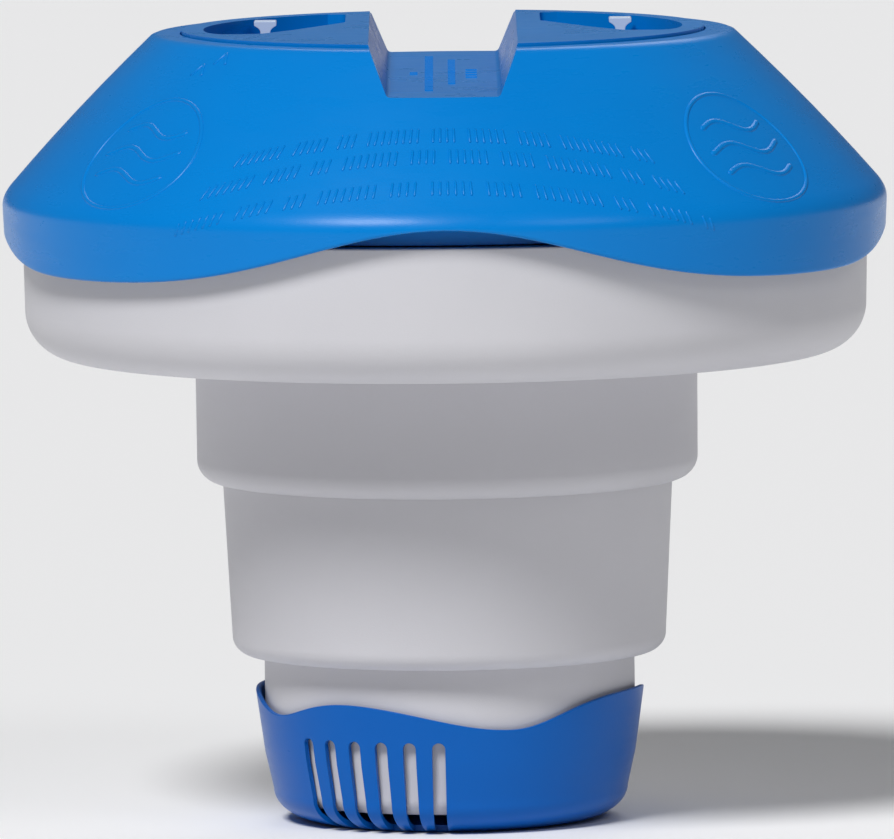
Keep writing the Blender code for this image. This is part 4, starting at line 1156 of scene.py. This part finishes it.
def ring_edge(angle):
    """Height of the flow ring's wavy rim, the same on both halves."""
    from_front = degrees(atan2(cos(angle), -sin(angle)))
    narrow = (from_front - NARROW_DIP_ANGLE + 90) % 180 - 90
    wide = (from_front - WIDE_DIP_ANGLE + 90) % 180 - 90
    wide_spread = WIDE_DIP_FAR_SPREAD if wide > 0 else WIDE_DIP_NEAR_SPREAD
    drop = NARROW_DIP * exp(-((narrow / NARROW_DIP_SPREAD) ** 2))
    drop += WIDE_DIP * exp(-((wide / wide_spread) ** 2))
    return RING_HIGH_Z - drop


def ring_outer_radius(height):
    """Outer radius of the flow ring's wall, which tapers in two straight runs."""
    if height < RING_WAIST_Z:
        low, low_radius = RING_CORNER_Z, RING_CORNER_RADIUS
        high, high_radius = RING_WAIST_Z, RING_WAIST_RADIUS
    else:
        low, low_radius = RING_WAIST_Z, RING_WAIST_RADIUS
        high, high_radius = RING_HIGH_Z, RING_TOP_RADIUS
    return low_radius + (high_radius - low_radius) * (height - low) / (high - low)


def ring_profile(angle):
    """Section of the flow ring: wall, wide rounded corner, floor, and a raised hub."""
    edge = ring_edge(angle)
    soft = 0.3 * MM
    shoulder = edge - soft
    outer_points = []
    for part in range(5):
        height = shoulder + (RING_WAIST_Z - shoulder) * part / 4
        outer_points.append((ring_outer_radius(height), height))
    for height in (13.5 * MM, 10.5 * MM, 8.6 * MM):
        outer_points.append((ring_outer_radius(height), height))
    reach = RING_CORNER_RADIUS - RING_BASE_RADIUS
    steps = 16
    for step in range(steps + 1):
        turn = radians(90 * step / steps)
        outer_points.append((RING_BASE_RADIUS + reach * cos(turn), RING_CORNER_Z * (1 - sin(turn))))
    inner_points = []
    for radius, height in reversed(outer_points):
        share = min(height / RING_CORNER_Z, 1)
        inner_points.append((radius - RING_WALL * share, height + RING_FLOOR * (1 - share)))
    hub = HUB_RADIUS + HUB_WALL
    hub_top = HUB_FLOOR_Z + RING_FLOOR
    hole = PIVOT_RADIUS + GAP
    rim = ring_outer_radius(edge)
    profile = [(rim - RING_WALL + soft, edge), (rim - soft, edge)]
    profile += [(rim - soft * 0.3, edge - soft * 0.3)]
    profile += outer_points + [(HUB_RADIUS, 0), (HUB_RADIUS, HUB_FLOOR_Z), (hole, HUB_FLOOR_Z)]
    profile += [(hole, hub_top), (hub, hub_top), (hub, RING_FLOOR)]
    return profile + inner_points


def slot_angles(offset=0):
    """Angles from the front of the slots in both groups."""
    for group in (0, 180):
        for count in range(SLOT_COUNT):
            yield SLOT_FIRST_ANGLE + SLOT_STEP * count + offset + group


def slot_cutter(from_front, width, low, top, inner):
    """An upright slot with a rounded top, reaching outwards from the inner radius."""
    half = width / 2
    outline = [(-half, low), (half, low)]
    outline += arc((0, top - half), half, 0, 180, 14)
    cutter = prism("slot", outline, -RING_TOP_RADIUS * 1.2, -inner, axis="Y")
    return turn_about_z(cutter, from_front)


def flow_ring():
    cup = turned("flow_ring_fine", ring_profile)
    for angle in slot_angles():
        cut(cup, slot_cutter(angle, SLOT_WIDTH, -RING_FLOOR, SLOT_TOP_Z, SLOT_INNER_RADIUS))
    round_edges(cup, 0.2 * MM, 50, 2)
    finish_piece(cup, RING_BLUE, "flow", "ring_blue", "flow_ring")


# ------------------------------------------------------------------ the frame's own pieces


def dress_frame_nodes():
    """Steel for the frame's own screws and washers, which keep their shape."""
    for name in ("lid_pivot_screw", "lid_pivot_washer", "flow_pivot_screw", "flow_pivot_washer"):
        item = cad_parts[name]
        item.data.materials.clear()
        item.data.materials.append(STEEL)


# ------------------------------------------------------------------ stage, light and camera


def studio():
    """A plain pale floor that runs far past the object on every side."""
    reach = 30.0
    mesh = bpy.data.meshes.new("floor")
    corners = [(-reach, -reach, 0), (reach, -reach, 0), (reach, reach, 0), (-reach, reach, 0)]
    mesh.from_pydata(corners, [], [(0, 1, 2, 3)])
    floor = bpy.data.objects.new("floor", mesh)
    show(floor)
    pale = bpy.data.materials.new("floor_pale")
    pale.use_nodes = True
    shader = pale.node_tree.nodes["Principled BSDF"]
    shader.inputs["Base Color"].default_value = (0.93, 0.93, 0.935, 1)
    shader.inputs["Roughness"].default_value = 0.9
    floor.data.materials.append(pale)


def sun(name, towards, strength, softness):
    """A sun seen from the origin in the direction towards, softness degrees across."""
    data = bpy.data.lights.new(name, "SUN")
    data.energy = strength
    data.angle = radians(softness)
    made = bpy.data.objects.new(name, data)
    made.rotation_euler = Vector(towards).to_track_quat("Z", "Y").to_euler()
    show(made)


def lights():
    """A high soft key from the front left, and weak lights from the right and from behind."""
    sun("key", (-0.5, -1.0, 1.36), 2.6, 17)
    sun("right", (0.9, -1.1, 1.2), 0.3, 20)
    sun("back", (0.15, 1.0, 0.8), 0.45, 30)
    world = bpy.data.worlds.new("studio")
    bpy.context.scene.world = world
    world.use_nodes = True
    background = world.node_tree.nodes["Background"]
    background.inputs["Color"].default_value = (0.96, 0.97, 1.0, 1)
    background.inputs["Strength"].default_value = 0.1


def camera():
    """A very long lens from the front, a little above the object."""
    data = bpy.data.cameras.new("camera")
    data.lens = 738
    data.sensor_width = 36
    data.clip_end = 20
    made = bpy.data.objects.new("camera", data)
    place = Vector((0.0, -4.2, 0.464))
    aim = Vector((0.0, 0.0, 0.092))
    made.location = place
    turn = (aim - place).to_track_quat("-Z", "Y").to_matrix()
    roll_degrees = -0.62
    roll = Matrix.Rotation(radians(roll_degrees), 3, "Z")
    made.rotation_euler = (turn @ roll).to_euler()
    show(made)
    bpy.context.scene.camera = made


camera()
studio()
lights()
bpy.context.scene.view_settings.view_transform = "Standard"
lid()
lid_marks()
channel_ribs()
lid_inner_cap()
for side, word in ((-1, "left"), (1, "right")):
    latch_tab(word, side)
    latch_spring(word, side)
rubber_bands()
float_lower_shell()
float_upper_shell()
upper_sleeve()
sleeve_clamp_ring()
middle_sleeve()
lower_sleeve()
flow_ring()
dress_frame_nodes()
